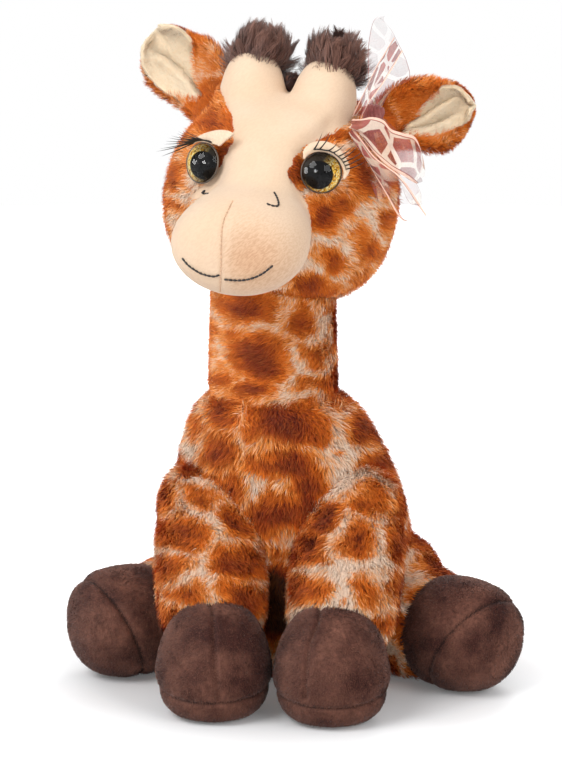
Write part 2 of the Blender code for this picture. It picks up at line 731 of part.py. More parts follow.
def build_lash(name, side, place, frame):
    """A band with tapering lashes drawn out of it, all in one piece."""
    lid_top = LID_RADIUS + LID_THICKNESS + GAP
    stations = 2 * LASH_COUNT + 1
    out = LID_FRONT + (LID_BACK - LID_FRONT) * LASH_ROOT_SHARE
    step = LASH_BAND / lid_top
    bm = bmesh.new()
    rings = []
    for station in range(stations):
        around = LASH_SPREAD * (2 * station / (stations - 1) - 1)
        corners = (
            (lid_top, out),
            (lid_top, out - step),
            (lid_top + LASH_BAND, out - step),
            (lid_top + LASH_BAND, out),
        )
        rings.append([bm.verts.new(lid_point(place, radius, around, turn)) for radius, turn in corners])
    roots = []
    for number, (this, after) in enumerate(zip(rings, rings[1:])):
        for corner in range(4):
            beside = (corner + 1) % 4
            face = bm.faces.new((this[corner], this[beside], after[beside], after[corner]))
            if corner == 2 and number % 2 == 0:
                roots.append((face, number))
    bm.faces.new(list(reversed(rings[0])))
    bm.faces.new(rings[-1])
    bmesh.ops.recalc_face_normals(bm, faces=bm.faces)
    eye_axis = (place.to_3x3() @ Vector((0, 0, 1))).normalized()
    outward = Vector((side, 0, 0))
    for face, number in roots:
        root = face.calc_center_median()
        away = (root - place.translation).normalized()
        lie = number / (stations - 2)
        lean = outward * LASH_LEAN_SHARE
        heading = (away + lean + eye_axis * LASH_LEAN_SHARE).normalized()
        for _ in range(LASH_PARTS):
            made = bmesh.ops.extrude_discrete_faces(bm, faces=[face])["faces"][0]
            middle = made.calc_center_median()
            share = 1 - (1 - LASH_TIP_SHARE) / LASH_PARTS
            long = LASH_END_SHARE + LASH_MIDDLE_SHARE * math.sin(math.pi * lie)
            length = LASH_LENGTH * long / LASH_PARTS
            heading = (heading + away * LASH_LEAN_SHARE / LASH_PARTS).normalized()
            for vertex in made.verts:
                vertex.co = middle + (vertex.co - middle) * share + heading * length
            face = made
    add_object(f"eyelash_{name}", mesh_of(f"eyelash_{name}", bm), BLACK_FIBRE, frame)


def build_stitches(face, frame):
    """Nostrils and a mouth, sewn with thick thread that lies on the muzzle."""
    bpy.context.view_layer.update()
    shape = face.evaluated_get(bpy.context.evaluated_depsgraph_get())
    for kind, sides in (("mouth", MOUTH_SHARES), ("nostril", NOSTRIL_SHARES)):
        for name, spots in sides.items():
            route = []
            for across, up in spots:
                start_point = Vector(
                    (MUZZLE_WIDTH / 2 * across, -2 * MUZZLE_REACH, MUZZLE_LIFT + MUZZLE_HEIGHT / 2 * up)
                )
                hit, spot, normal, _ = shape.ray_cast(start_point, Vector((0, 1, 0)))
                if hit:
                    route.append(spot + normal * (THREAD_RADIUS + GAP))
            tube(f"{kind}_stitch_{name}", smooth_route(route), THREAD_RADIUS, BLACK_FIBRE, frame)


def ear_rows(width, thickness, length, forwards=0.0):
    return [
        (length * along, 0, -forwards * deep, width / 2 * wide, thickness / 2 * deep)
        for along, wide, deep in EAR_ROW_SHARES
    ]


def build_ears(head, frame):
    for name, side in SIDES.items():
        spot = Matrix.Translation((side * EAR_SPREAD, EAR_SETBACK, EAR_LIFT))
        lie = Matrix.Rotation(side * (math.pi / 2 - EAR_RAISE[name]), 4, "Y")
        base = pivot(f"ear_pivot_{name}", spot @ lie, frame)
        outer = ear_rows(EAR_WIDTH, EAR_THICKNESS, EAR_LENGTH)
        ear = stuffed(f"ear_{name}", outer, PATCHED_FUR, base, levels=1)
        join(ear, ball(f"ear_ball_{name}", EAR_BALL_RADIUS, base, "Y", small=True))
        inner_length = EAR_LENGTH * LINING_SHARE
        lift = Matrix.Translation((0, 0, (EAR_LENGTH - inner_length) * LINING_SHARE))
        inner = ear_rows(EAR_WIDTH * LINING_SHARE, LINING_THICKNESS, inner_length, EAR_THICKNESS / 2)
        stuffed(f"ear_lining_{name}", inner, PALE_PLUSH, base, lift, levels=1)
        recess = stuffed(f"lining_cutter_{name}", inner, None, base, lift, grow=GAP, levels=1)
        cut(ear, recess)
        cut(head, ball(f"ear_socket_{name}", EAR_BALL_RADIUS + SEAM_GAP, base, "Y", small=True))


def leg_rows(length, radius, shares):
    return [(length * along, 0, 0, radius * wide, radius * wide) for along, wide in shares]


def front_hoof_rows():
    return [
        (
            FRONT_HOOF_HEIGHT * up - FLAT_DEPTH,
            0,
            FRONT_HOOF_DEPTH * back,
            FRONT_HOOF_WIDTH / 2 * wide,
            FRONT_HOOF_DEPTH / 2 * deep,
        )
        for up, back, wide, deep in FRONT_HOOF_ROW_SHARES
    ]


def sole_cutter(name, place, parent, reach):
    """A block on the far side of a sole's seam, in the seam's frame."""
    return box(name, (-reach, -reach, 0), (reach, reach, reach), None, parent, place)


def build_front_legs(body, floor):
    for name, side in SIDES.items():
        shoulder = Vector((side * SHOULDER_SPREAD, -SHOULDER_REACH, SHOULDER_HEIGHT))
        base = pivot(f"front_leg_pivot_{name}", Matrix.Translation(shoulder))
        ankle = Vector((side * FRONT_HOOF_SPREAD, -FRONT_ANKLE_REACH, FRONT_ANKLE_HEIGHT)) - shoulder
        along = towards((0, 0, 0), ankle)
        rows = leg_rows(ankle.length, LEG_RADIUS, LEG_ROW_SHARES)
        leg = limb(f"front_leg_{name}", rows, PATCHED_FUR, base, along)
        join(leg, ball(f"shoulder_ball_{name}", LEG_RADIUS, base, "X"))
        hoof_place = Matrix.Translation(
            Vector((side * FRONT_HOOF_SPREAD, -FRONT_HOOF_REACH, 0)) - shoulder
        )
        standing = front_hoof_rows()
        hoof = limb(f"front_hoof_{name}", standing, HOOF_PLUSH, base, hoof_place)
        sole = limb(f"front_sole_{name}", standing, HOOF_PLUSH, base, hoof_place)
        grown = limb(f"front_hoof_cutter_{name}", standing, None, base, hoof_place, GAP)
        cut(leg, grown)
        seam = hoof_place @ Matrix.Translation((0, 0, FRONT_SOLE_HEIGHT)) @ Matrix.Rotation(
            -FRONT_SOLE_PITCH, 4, "X"
        )
        below = seam @ Matrix.Translation((0, 0, GAP)) @ Matrix.Rotation(math.pi, 4, "X")
        reach = FRONT_HOOF_HEIGHT
        cut(hoof, sole_cutter(f"under_seam_{name}", below, base, reach))
        cut(sole, sole_cutter(f"over_seam_{name}", seam, base, reach), floor)
        cut(body, ball(f"shoulder_socket_{name}", LEG_RADIUS + SEAM_GAP, base, "X"))
        for number in range(SWING_STEPS):
            swing = Matrix.Rotation(-FRONT_SWING * number / (SWING_STEPS - 1), 4, "X")
            cut(body, limb(f"leg_channel_{name}_{number}", rows, None, base, swing @ along, SEAM_GAP))


def hind_frame(side):
    hip = Vector((side * HIP_SPREAD, HIP_SETBACK, HIP_RADIUS - FLAT_DEPTH))
    heading = Vector((side * math.sin(HIND_SPLAY), -math.cos(HIND_SPLAY), 0))
    return hip, heading


def build_hind_legs(body, floor):
    for name, side in SIDES.items():
        hip, heading = hind_frame(side)
        base = pivot(f"hind_leg_pivot_{name}", Matrix.Translation(hip))
        along = towards((0, 0, 0), heading, up=Vector((0, 0, 1)))
        rows = leg_rows(HIND_REACH, HIP_RADIUS, THIGH_ROW_SHARES)
        leg = limb(f"hind_leg_{name}", rows, PATCHED_FUR, base, along)
        join(leg, ball(f"hip_ball_{name}", HIP_RADIUS, base))
        rise = Vector((0, 0, HIND_HOOF_RADIUS - HIP_RADIUS))
        middle = along.copy()
        middle.translation = heading * HIND_REACH + rise
        hoof_rows = leg_rows(HIND_HOOF_LENGTH, HIND_HOOF_RADIUS, HIND_HOOF_ROW_SHARES)
        hoof = limb(f"hind_hoof_{name}", hoof_rows, HOOF_PLUSH, base, middle)
        sole = limb(f"hind_sole_{name}", hoof_rows, HOOF_PLUSH, base, middle)
        grown = limb(f"hind_hoof_cutter_{name}", hoof_rows, None, base, middle, GAP)
        cut(leg, grown, floor)
        seam = middle @ Matrix.Translation((0, 0, HIND_SOLE_REACH))
        away = Matrix.Rotation(math.pi, 4, "X")
        reach = HIND_HOOF_LENGTH
        cut(hoof, sole_cutter(f"past_seam_{name}", seam, base, reach), floor)
        before = seam @ Matrix.Translation((0, 0, GAP)) @ away
        cut(sole, sole_cutter(f"before_seam_{name}", before, base, reach), floor)
        cut(body, ball(f"hip_socket_{name}", HIP_RADIUS + SEAM_GAP, base))
        for number in range(SWING_STEPS):
            swung = (HIND_SWING_IN + HIND_SWING_OUT) * number / (SWING_STEPS - 1)
            swing = Matrix.Rotation(side * (swung - HIND_SWING_IN), 4, "Z")
            cut(body, limb(f"thigh_channel_{name}_{number}", rows, None, base, swing @ along, SEAM_GAP))


def build_tail(body):
    base = pivot("tail_pivot", Matrix.Translation((0, TAIL_SETBACK, TAIL_HEIGHT)))
    heading = Vector((0, math.cos(TAIL_SLOPE), -math.sin(TAIL_SLOPE)))
    steps = 3
    route = [heading * TAIL_LENGTH * step / steps for step in range(steps + 1)]
    tail = tube("tail", route, TAIL_RADIUS, PATCHED_FUR, base)
    join(tail, ball("tail_ball", TAIL_BALL_RADIUS, base, "X", small=True))
    cut(body, ball("tail_socket", TAIL_BALL_RADIUS + SEAM_GAP, base, "X", small=True))
    end = towards(heading * (TAIL_LENGTH + GAP), heading * TAIL_LENGTH * 2, up=Vector((1, 0, 0)))
    drop = Matrix.Rotation(math.pi, 4, "X")
    profile = [(TAIL_TUFT_RADIUS * wide, -TAIL_TUFT_LENGTH * down) for down, wide in TAIL_TUFT_SHARES]
    turned("tail_tuft", profile, DARK_FUR, base, end @ drop)


def build_bow(skull, frame):
    knot_spot = Vector((BOW_SPREAD, -BOW_REACH, BOW_LIFT))
    knot_rows = ellipsoid_rows(BOW_KNOT_WIDTH, BOW_KNOT_DEPTH, BOW_KNOT_HEIGHT, BAG_EGG_SHARES)
    place = Matrix.Translation(knot_spot)
    knot = stuffed("bow_knot", knot_rows, RIBBON, frame, place, levels=1)
    grown = stuffed("bow_knot_cutter", knot_rows, None, frame, place, grow=GAP, levels=1)
    cut(knot, skull)
    pieces = (
        ("bow_loop_upper", BOW_UPPER_LENGTH, BOW_UPPER_TURN, 0),
        ("bow_loop_side", BOW_SIDE_LENGTH, BOW_SIDE_TURN, BOW_SIDE_REACH),
        ("bow_loop_lower", BOW_LOWER_LENGTH, BOW_LOWER_TURN, 0),
        ("bow_tail", BOW_TAIL_LENGTH, BOW_TAIL_TURN, BOW_SIDE_REACH),
    )
    for name, length, turn, reach in pieces:
        rows = [
            (length * along, 0, 0, BOW_WIDTH / 2 * wide, BOW_THICKNESS / 2 * deep)
            for along, wide, deep in BOW_ROW_SHARES
        ]
        lie = place @ Matrix.Translation((0, -reach, 0)) @ Matrix.Rotation(turn, 4, "Y")
        lie = lie @ Matrix.Translation((0, 0, BOW_KNOT_WIDTH / 2 - BOW_THICKNESS / 2))
        loop = stuffed(name, rows, RIBBON, frame, lie, levels=1)
        cut(loop, grown, skull)


def centre():
    """Moves the whole toy so that the middle of its floor box lies on the origin."""
    bpy.context.view_layer.update()
    depsgraph = bpy.context.evaluated_depsgraph_get()
    reach = []
    for obj in PARTS.objects:
        if obj.type == "MESH":
            shape = obj.evaluated_get(depsgraph)
            reach += [shape.matrix_world @ vertex.co for vertex in shape.data.vertices]
    middle = [(min(spots) + max(spots)) / 2 for spots in zip(*reach)]
    for obj in (*PARTS.objects, *CUTTERS.objects):
        if obj.parent is None:
            obj.location -= Vector((middle[0], middle[1], 0))


def build():
    floor = floor_cutter()
    body = build_body(floor)
    build_granule_bag(body)
    nod = build_neck()
    head, skull, frame = build_head(nod)
    face = build_face(skull, frame)
    horns = build_horns(skull, frame, face)
    build_head_mane(skull, horns, frame)
    build_eyes(head, face, frame)
    build_lids(skull, frame)
    build_stitches(face, frame)
    build_ears(head, frame)
    build_front_legs(body, floor)
    build_hind_legs(body, floor)
    build_tail(body)
    build_bow(skull, frame)
    centre()


build()
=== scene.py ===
"""The looks of a seated plush giraffe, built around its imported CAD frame. Metres, +Z up, the toy faces -Y."""

import json
import math
import zlib

import bmesh
import bpy
import numpy as np
from mathutils import Matrix, Vector
from mathutils.bvhtree import BVHTree
from mathutils.kdtree import KDTree


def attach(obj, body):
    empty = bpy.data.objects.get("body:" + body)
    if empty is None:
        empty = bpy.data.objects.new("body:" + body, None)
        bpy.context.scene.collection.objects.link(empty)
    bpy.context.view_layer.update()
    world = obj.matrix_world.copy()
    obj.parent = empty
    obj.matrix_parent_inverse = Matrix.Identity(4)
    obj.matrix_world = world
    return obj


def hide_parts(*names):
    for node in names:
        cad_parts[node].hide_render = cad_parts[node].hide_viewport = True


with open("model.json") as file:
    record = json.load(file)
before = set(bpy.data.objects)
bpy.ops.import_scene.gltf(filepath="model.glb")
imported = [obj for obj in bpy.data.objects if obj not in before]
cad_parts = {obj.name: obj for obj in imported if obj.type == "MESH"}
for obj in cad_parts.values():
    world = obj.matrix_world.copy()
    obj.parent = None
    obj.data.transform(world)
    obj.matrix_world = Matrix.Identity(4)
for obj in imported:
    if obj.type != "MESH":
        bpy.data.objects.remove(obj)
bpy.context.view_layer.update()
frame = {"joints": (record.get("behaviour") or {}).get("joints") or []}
JOINTS = {joint["name"]: Vector(joint["pos_m"]) for joint in frame["joints"]}

DEGREE = math.pi / 180
SIDES = {"left": -1, "right": 1}
NECK_PIVOT = JOINTS["neck_nod"]
HEAD_PIVOT = JOINTS["head_turn"]
ORIGIN = Vector((0, NECK_PIVOT.y, 0))  # the point that the source's sizes count from

# camera
FOCAL_PX = 2285.0
FRAME_LONG = 760
FRAME_MIDDLE = (281, 380)
CAMERA_AZIMUTH = 8 * DEGREE
CAMERA_HEIGHT = 9 * DEGREE
CAMERA_REACH = 1.0
CAMERA_AIM = Vector((-0.0045, ORIGIN.y, 0.1344))


def build_camera():
    data = bpy.data.cameras.new("camera")
    camera = bpy.data.objects.new("camera", data)
    bpy.context.scene.collection.objects.link(camera)
    flat = math.cos(CAMERA_HEIGHT)
    back = Vector(
        (math.sin(CAMERA_AZIMUTH) * flat, -math.cos(CAMERA_AZIMUTH) * flat, math.sin(CAMERA_HEIGHT))
    )
    camera.location = CAMERA_AIM + back * CAMERA_REACH
    camera.rotation_euler = back.to_track_quat("Z", "Y").to_euler()
    data.sensor_width = 36
    data.lens = 36 * FOCAL_PX / FRAME_LONG
    data.clip_start = 0.01
    data.clip_end = 50
    bpy.context.scene.camera = camera
    bpy.context.view_layer.update()
    return camera


CAMERA = build_camera()
CAMERA_SPOT = CAMERA.matrix_world.translation.copy()
RIGHTWARDS, UPWARDS, BACKWARDS = (CAMERA.matrix_world.to_3x3().col[k].copy() for k in range(3))


def through(x, y):
    """The direction in which the photograph's pixel is seen."""
    across, down = x - FRAME_MIDDLE[0], FRAME_MIDDLE[1] - y
    return (RIGHTWARDS * across + UPWARDS * down - BACKWARDS * FOCAL_PX).normalized()


# materials
class Nodes:
    """A material under construction: helpers that add one node each and give back its output."""

    def __init__(self, name):
        self.material = bpy.data.materials.new(name)
        self.material.use_nodes = True
        self.tree = self.material.node_tree
        self.shader = self.tree.nodes["Principled BSDF"]
        self.out = self.tree.nodes["Material Output"]

    def add(self, kind, **settings):
        node = self.tree.nodes.new(kind)
        for key, value in settings.items():
            setattr(node, key, value)
        return node

    def put(self, node, socket, value):
        target = node.inputs[socket]
        if isinstance(value, bpy.types.NodeSocket):
            self.tree.links.new(value, target)
        else:
            target.default_value = value
        return target

    def attribute(self, name, output="Fac"):
        return self.add("ShaderNodeAttribute", attribute_name=name).outputs[output]

    def math(self, operation, a, b=0.0, clamp=False):
        node = self.add("ShaderNodeMath", operation=operation, use_clamp=clamp)
        self.put(node, 0, a)
        self.put(node, 1, b)
        return node.outputs[0]

    def mix(self, share, a, b, blend="MIX"):
        node = self.add("ShaderNodeMix", data_type="RGBA", blend_type=blend)
        self.put(node, "Factor", share)
        for socket, value in ((6, a), (7, b)):
            self.put(node, socket, (*value, 1.0) if isinstance(value, tuple) and len(value) == 3 else value)
        return node.outputs[2]

    def ramp(self, value, stops):
        node = self.add("ShaderNodeValToRGB")
        elements = node.color_ramp.elements
        while len(elements) < len(stops):
            elements.new(0.5)
        for element, (spot, colour) in zip(elements, stops):
            element.position = spot
            element.color = (*colour, 1.0)
        self.put(node, "Fac", value)
        return node.outputs["Color"]

    def levels(self, value, low, high, to_low=0.0, to_high=1.0):
        node = self.add("ShaderNodeMapRange", clamp=True)
        self.put(node, "Value", value)
        for socket, number in (("From Min", low), ("From Max", high), ("To Min", to_low), ("To Max", to_high)):
            node.inputs[socket].default_value = number
        return node.outputs["Result"]

    def place(self):
        """Where on the piece at rest, in metres."""
        return self.attribute("rest", "Vector")

    def noise(self, scale, detail=2.0, roughness=0.5, where=None):
        node = self.add("ShaderNodeTexNoise")
        self.put(node, "Vector", where if where is not None else self.place())
        node.inputs["Scale"].default_value = scale
        node.inputs["Detail"].default_value = detail
        node.inputs["Roughness"].default_value = roughness
        return node.outputs["Fac"]

    def voronoi(self, scale, where=None, feature="F1", output="Distance"):
        node = self.add("ShaderNodeTexVoronoi", feature=feature)
        self.put(node, "Vector", where if where is not None else self.place())
        node.inputs["Scale"].default_value = scale
        return node.outputs[output]

    def bump(self, height, strength, distance):
        node = self.add("ShaderNodeBump")
        node.inputs["Strength"].default_value = strength
        node.inputs["Distance"].default_value = distance
        self.put(node, "Height", height)
        self.put(self.shader, "Normal", node.outputs["Normal"])

    def surface(self, colour, roughness=0.8, **constants):
        self.put(self.shader, "Base Color", (*colour, 1.0) if isinstance(colour, tuple) else colour)
        self.put(self.shader, "Roughness", roughness)
        for name, value in constants.items():
            self.put(self.shader, name.replace("_", " "), value)
        return self.material


def srgb(red, green, blue):
    """A colour written as the photograph's 0 to 255 values."""
    return tuple(
        (v / 255 / 12.92) if v / 255 <= 0.04045 else ((v / 255 + 0.055) / 1.055) ** 2.4
        for v in (red, green, blue)
    )


def coat_colour(nodes):
    """The patched coat's colour from how deep in a patch the root is, in millimetres."""
    depth = nodes.attribute("coat")
    ragged = nodes.levels(nodes.noise(330, 3.0, 0.6), 0.3, 0.7, -0.8, 0.8)
    wide = nodes.levels(nodes.noise(34, 1.0, 0.5), 0.36, 0.64, -1.0, 1.2)
    depth = nodes.math("SUBTRACT", nodes.math("ADD", depth, ragged), wide)
    colour = nodes.ramp(
        nodes.levels(depth, -0.8, 13.0),
        [
            (0.0, srgb(255, 228, 204)),
            (0.06, srgb(255, 212, 172)),
            (0.125, srgb(255, 166, 82)),
            (0.24, srgb(240, 120, 22)),
            (0.56, srgb(200, 70, 2)),
            (1.0, srgb(62, 24, 12)),
        ],
    )
    mottle = nodes.levels(nodes.noise(75, 3.0, 0.6), 0.36, 0.66, 0.0, 0.60)
    core = nodes.levels(depth, 2.6, 7.0, 0.0, 0.90)
    dark = nodes.mix(nodes.math("MAXIMUM", mottle, core), colour, srgb(122, 29, 2))
    # Deepest of all, with the ramp's darkest stop: painted shade in the recess between the front legs, whose patch runs
    # four times deeper; the cores of the largest patches darken with it too
    gap = nodes.levels(depth, 10.0, 13.0)
    dark = nodes.mix(gap, dark, srgb(52, 20, 12))
    inside = nodes.levels(depth, 1.2, 3.2)
    return nodes.mix(inside, colour, dark), inside


def fur_material():
    nodes = Nodes("patched_fur")
    colour, inside = coat_colour(nodes)
    tone = nodes.attribute("tone")
    touched = nodes.math("MULTIPLY", inside, nodes.levels(tone, 0.0, 1.0, 0.0, 0.14))
    colour = nodes.mix(touched, colour, srgb(230, 130, 50))
    along = nodes.attribute("along")
    # Darker towards the roots: painted shade deep in the pile
    root = nodes.levels(along, 0.0, 0.5, 0.72, 1.0)
    shade = nodes.add("ShaderNodeCombineColor")
    for k in range(3):
        nodes.put(shade, k, root)
    colour = nodes.mix(1.0, colour, shade.outputs[0], "MULTIPLY")
    tip = nodes.math("MULTIPLY", inside, nodes.levels(along, 0.62, 1.0, 0.0, 0.16))
    colour = nodes.mix(tip, colour, srgb(248, 166, 84))
    return nodes.surface(colour, 0.72, Sheen_Weight=0.05, Sheen_Roughness=0.45, Specular_IOR_Level=0.16)


def fur_skin_material():
    nodes = Nodes("patched_cloth")
    # Darker than the pile's own colour: painted shade on the skin beneath the fur
    colour = nodes.mix(1.0, coat_colour(nodes)[0], (0.86, 0.80, 0.75), "MULTIPLY")
    nodes.bump(nodes.noise(1500, 2.0), 0.6, 0.0004)
    return nodes.surface(colour, 0.9, Sheen_Weight=0.2)


def plain_fur_material(name, dark, light, share=0.6):
    nodes = Nodes(name)
    tone = nodes.attribute("tone")
    along = nodes.attribute("along")
    colour = nodes.mix(nodes.levels(tone, 0.0, 1.0, 0.0, share), dark, light)
    colour = nodes.mix(nodes.levels(along, 0.5, 1.0, 0.0, 0.35), colour, light)
    return nodes.surface(colour, 0.6, Sheen_Weight=0.2, Specular_IOR_Level=0.35)


def pile_material(name, base, shadow, light, grain=900, patch=45, bump=0.00025, sheen=0.35, along=True):
    """Short napped plush: nap laid this way and that, fine grain, a soft sheen."""
    nodes = Nodes(name)
    lay = nodes.levels(nodes.noise(patch, 3.0, 0.55), 0.35, 0.68)
    colour = nodes.mix(nodes.math("MULTIPLY", lay, 0.55), base, light)
    fine = nodes.levels(nodes.noise(grain, 3.0, 0.7), 0.32, 0.7)
    colour = nodes.mix(nodes.math("MULTIPLY", nodes.math("SUBTRACT", 1.0, fine), 0.50), colour, shadow)
    if along:
        root = nodes.levels(nodes.attribute("along"), 0.0, 1.0, 0.0, 0.35)
        colour = nodes.mix(root, colour, light)
    # Darker along the seams: painted shade in their pressed grooves
    seam = nodes.levels(nodes.attribute("seam"), 0.35, 1.0, 0.0, 0.75)
    colour = nodes.mix(seam, colour, nodes.mix(0.6, shadow, (0.0, 0.0, 0.0)))
    nodes.bump(nodes.noise(grain * 1.6, 3.0, 0.7), 0.7, bump)
    return nodes.surface(colour, 0.85, Sheen_Weight=sheen, Sheen_Roughness=0.4, Specular_IOR_Level=0.2)


def velour_material():
    """The face's short velour: fine slanting ribs with painted shade in their hollows, and painted shade low on its
    right.
    """
    nodes = Nodes("face_velour")
    where = nodes.place()
    slant = nodes.add("ShaderNodeMapping", vector_type="TEXTURE")
    nodes.put(slant, "Vector", where)
    slant.inputs["Rotation"].default_value = (0, -38 * DEGREE, 0)
    slant.inputs["Scale"].default_value = (1 / 520, 1 / 900, 1 / 1700)
    ribs = nodes.noise(1.0, 2.0, 0.6, slant.outputs[0])
    low_right_shade = nodes.attribute("low_right_shade")
    soft = nodes.levels(nodes.noise(60, 2.0), 0.35, 0.65, 0.0, 0.5)
    base = nodes.mix(soft, srgb(228, 201, 173), srgb(223, 192, 160))
    # Painted shade low on the muzzle's right, away from the key lamp
    base = nodes.mix(low_right_shade, base, srgb(209, 168, 134))
    depth = nodes.math("ADD", nodes.math("MULTIPLY", low_right_shade, 0.60), 0.10)
    # The ribs' hollows darker: painted shade, deepest in the shade low on the right
    rib_hollow_shade = nodes.math("MULTIPLY", nodes.levels(ribs, 0.58, 0.40), depth)
    colour = nodes.mix(rib_hollow_shade, base, srgb(190, 144, 110))
    nodes.bump(ribs, 0.5, 0.00022)
    return nodes.surface(colour, 0.85, Sheen_Weight=0.25, Sheen_Roughness=0.5, Specular_IOR_Level=0.2)


MATERIALS = {
    "fur": fur_material(),
    "fur_skin": fur_skin_material(),
    "dark_fur": plain_fur_material("dark_fur", srgb(54, 26, 24), srgb(158, 108, 88), 0.75),
    "cream": velour_material(),
    "felt": pile_material("lid_felt", srgb(238, 212, 184), srgb(214, 180, 148), srgb(246, 226, 202), along=False),
    "lining": pile_material("lining_pile", srgb(255, 236, 204), srgb(252, 220, 180), srgb(255, 246, 226)),
    "hoof": pile_material(
        "hoof_pile", srgb(64, 28, 22), srgb(22, 7, 5), srgb(166, 112, 92), grain=620, patch=62, sheen=0.12
    ),
    "bag": pile_material("bag_cloth", srgb(226, 220, 206), srgb(196, 188, 172), srgb(240, 236, 226), along=False),
    "knot": pile_material(
        "knot_satin", srgb(140, 70, 66), srgb(96, 44, 44), srgb(190, 128, 120), grain=700, patch=160,
        bump=0.00012, sheen=0.2, along=False,
    ),
}


# mesh tools
def mesh_from(bm, name):
    mesh = bpy.data.meshes.new(name)
    bm.to_mesh(mesh)
    bm.free()
    return mesh


def tube(bm, rings):
    """Joins rings of vertices, each to the next."""
    for this, after in zip(rings, rings[1:]):
        for k in range(len(this)):
            following = (k + 1) % len(this)
            bm.faces.new((this[k], this[following], after[following], after[k]))


def sleeve(bm, rings):
    """A tube that is closed at both ends."""
    tube(bm, rings)
    bm.faces.new(list(reversed(rings[0])))
    bm.faces.new(rings[-1])


def spread_cloth(bm, grid):
    """Joins rows of vertices into a sheet."""
    for this, after in zip(grid, grid[1:]):
        for c in range(len(this) - 1):
            bm.faces.new((this[c], this[c + 1], after[c + 1], after[c]))


def in_place(points, place):
    """The points as they lie in the frame of a place."""
    inverse = np.array(place.inverted())
    return points @ inverse[:3, :3].T + inverse[:3, 3]


def tree_of(mesh):
    return BVHTree.FromPolygons([Vector(p) for p in points_of(mesh)], [tuple(p.vertices) for p in mesh.polygons])


def seeded(name):
    return np.random.default_rng(zlib.crc32(name.encode()))


def link(name, mesh, material=None):
    obj = bpy.data.objects.new(name, mesh)
    bpy.context.scene.collection.objects.link(obj)
    if material is not None:
        mesh.materials.clear()
        mesh.materials.append(material)
    return obj


def baked(obj):
    """The mesh that the object's modifiers give; the object goes."""
    bpy.context.view_layer.update()
    shape = obj.evaluated_get(bpy.context.evaluated_depsgraph_get())
    mesh = bpy.data.meshes.new_from_object(shape)
    bpy.data.objects.remove(obj)
    return mesh


def cage(rows, place, corners=8, levels=4):
    """A stuffed form from a coarse cage of rows (along, x, y, half width, half depth), smoothed."""
    drawn_in = (2 + math.cos(2 * math.pi / corners)) / 3
    bm = bmesh.new()
    rings = []
    for along, x, y, half_width, half_depth in rows:
        ring = []
        for corner in range(corners):
            turn = 2 * math.pi * (corner + 0.5) / corners
            across = half_width / drawn_in * math.cos(turn)
            deep = half_depth / drawn_in * math.sin(turn)
            ring.append(bm.verts.new(place @ Vector((x + across, y + deep, along))))
        rings.append(ring)
    sleeve(bm, rings)
    obj = link("cage", mesh_from(bm, "cage"))
    smooth = obj.modifiers.new("stuffing", "SUBSURF")
    smooth.levels = smooth.render_levels = levels
    return baked(obj)


def turned(profile, place, steps=64):
    """A round form: (radius, height) points, top to bottom, turned about the place's Z axis."""
    bm = bmesh.new()
    rings = []
    for radius, height in profile:
        if radius <= 0:
            rings.append([bm.verts.new(place @ Vector((0, 0, height)))])
            continue
        ring = []
        for step in range(steps):
            turn = 2 * math.pi * step / steps
            ring.append(
                bm.verts.new(place @ Vector((radius * math.cos(turn), radius * math.sin(turn), height)))
            )
        rings.append(ring)
    for upper, lower in zip(rings, rings[1:]):
        for this in range(steps):
            after = (this + 1) % steps
            corners = [upper[this % len(upper)], lower[this % len(lower)]]
            if len(lower) > 1:
                corners.append(lower[after])
            if len(upper) > 1:
                corners.append(upper[after])
            bm.faces.new(corners)
    bmesh.ops.recalc_face_normals(bm, faces=bm.faces)
    return mesh_from(bm, "turned")


def fused(meshes, voxel, smoothing):
    """Overlapping closed forms made one skin, with soft creases where they meet."""
    bm = bmesh.new()
    for mesh in meshes:
        bm.from_mesh(mesh)
    obj = link("fused", mesh_from(bm, "fused"))
    remesh = obj.modifiers.new("skin", "REMESH")
    remesh.mode = "VOXEL"
    remesh.voxel_size = voxel
    smooth = obj.modifiers.new("soft", "SMOOTH")
    smooth.factor = 0.5
    smooth.iterations = smoothing
    return baked(obj)


def points_of(mesh):
    flat = np.empty(len(mesh.vertices) * 3)
    mesh.vertices.foreach_get("co", flat)
    return flat.reshape(-1, 3)


def normals_of(mesh):
    flat = np.empty(len(mesh.vertices) * 3)
    mesh.vertex_normals.foreach_get("vector", flat)
    return flat.reshape(-1, 3)


def triangles_of(mesh):
    mesh.calc_loop_triangles()
    flat = np.empty(len(mesh.loop_triangles) * 3, np.int32)
    mesh.loop_triangles.foreach_get("vertices", flat)
    return flat.reshape(-1, 3)


def set_points(mesh, points):
    mesh.vertices.foreach_set("co", np.ascontiguousarray(points, np.float32).ravel())
    mesh.update()


def put_attribute(mesh, name, values):
    kind = "FLOAT" if values.ndim == 1 else "FLOAT_VECTOR"
    attribute = mesh.attributes.get(name) or mesh.attributes.new(name, kind, "POINT")
    attribute.data.foreach_set("value" if values.ndim == 1 else "vector", values.astype(np.float32).ravel())


def kept_faces(mesh, keep):
    """A copy of the mesh with only the faces for which keep is true."""
    bm = bmesh.new()
    bm.from_mesh(mesh)
    bm.faces.ensure_lookup_table()
    gone = [face for face, stays in zip(bm.faces, keep) if not stays]
    bmesh.ops.delete(bm, geom=gone, context="FACES")
    return mesh_from(bm, "kept")


def face_centres(mesh):
    flat = np.empty(len(mesh.polygons) * 3)
    mesh.polygons.foreach_get("center", flat)
    return flat.reshape(-1, 3)


# coat pattern
def wobble(points, scale, amount, seed):
    """The points pushed about by smooth waves, so that straight borders wander."""
    rng = np.random.default_rng(seed)
    pushed = points.copy()
    for _ in range(5):
        wave = rng.normal(size=3)
        wave *= 2 * math.pi / scale / np.linalg.norm(wave) * rng.uniform(0.6, 1.5)
        push = rng.normal(size=3)
        push *= amount / np.linalg.norm(push)
        pushed += np.sin(points @ wave + rng.uniform(0, 6.3))[:, None] * push
    return pushed


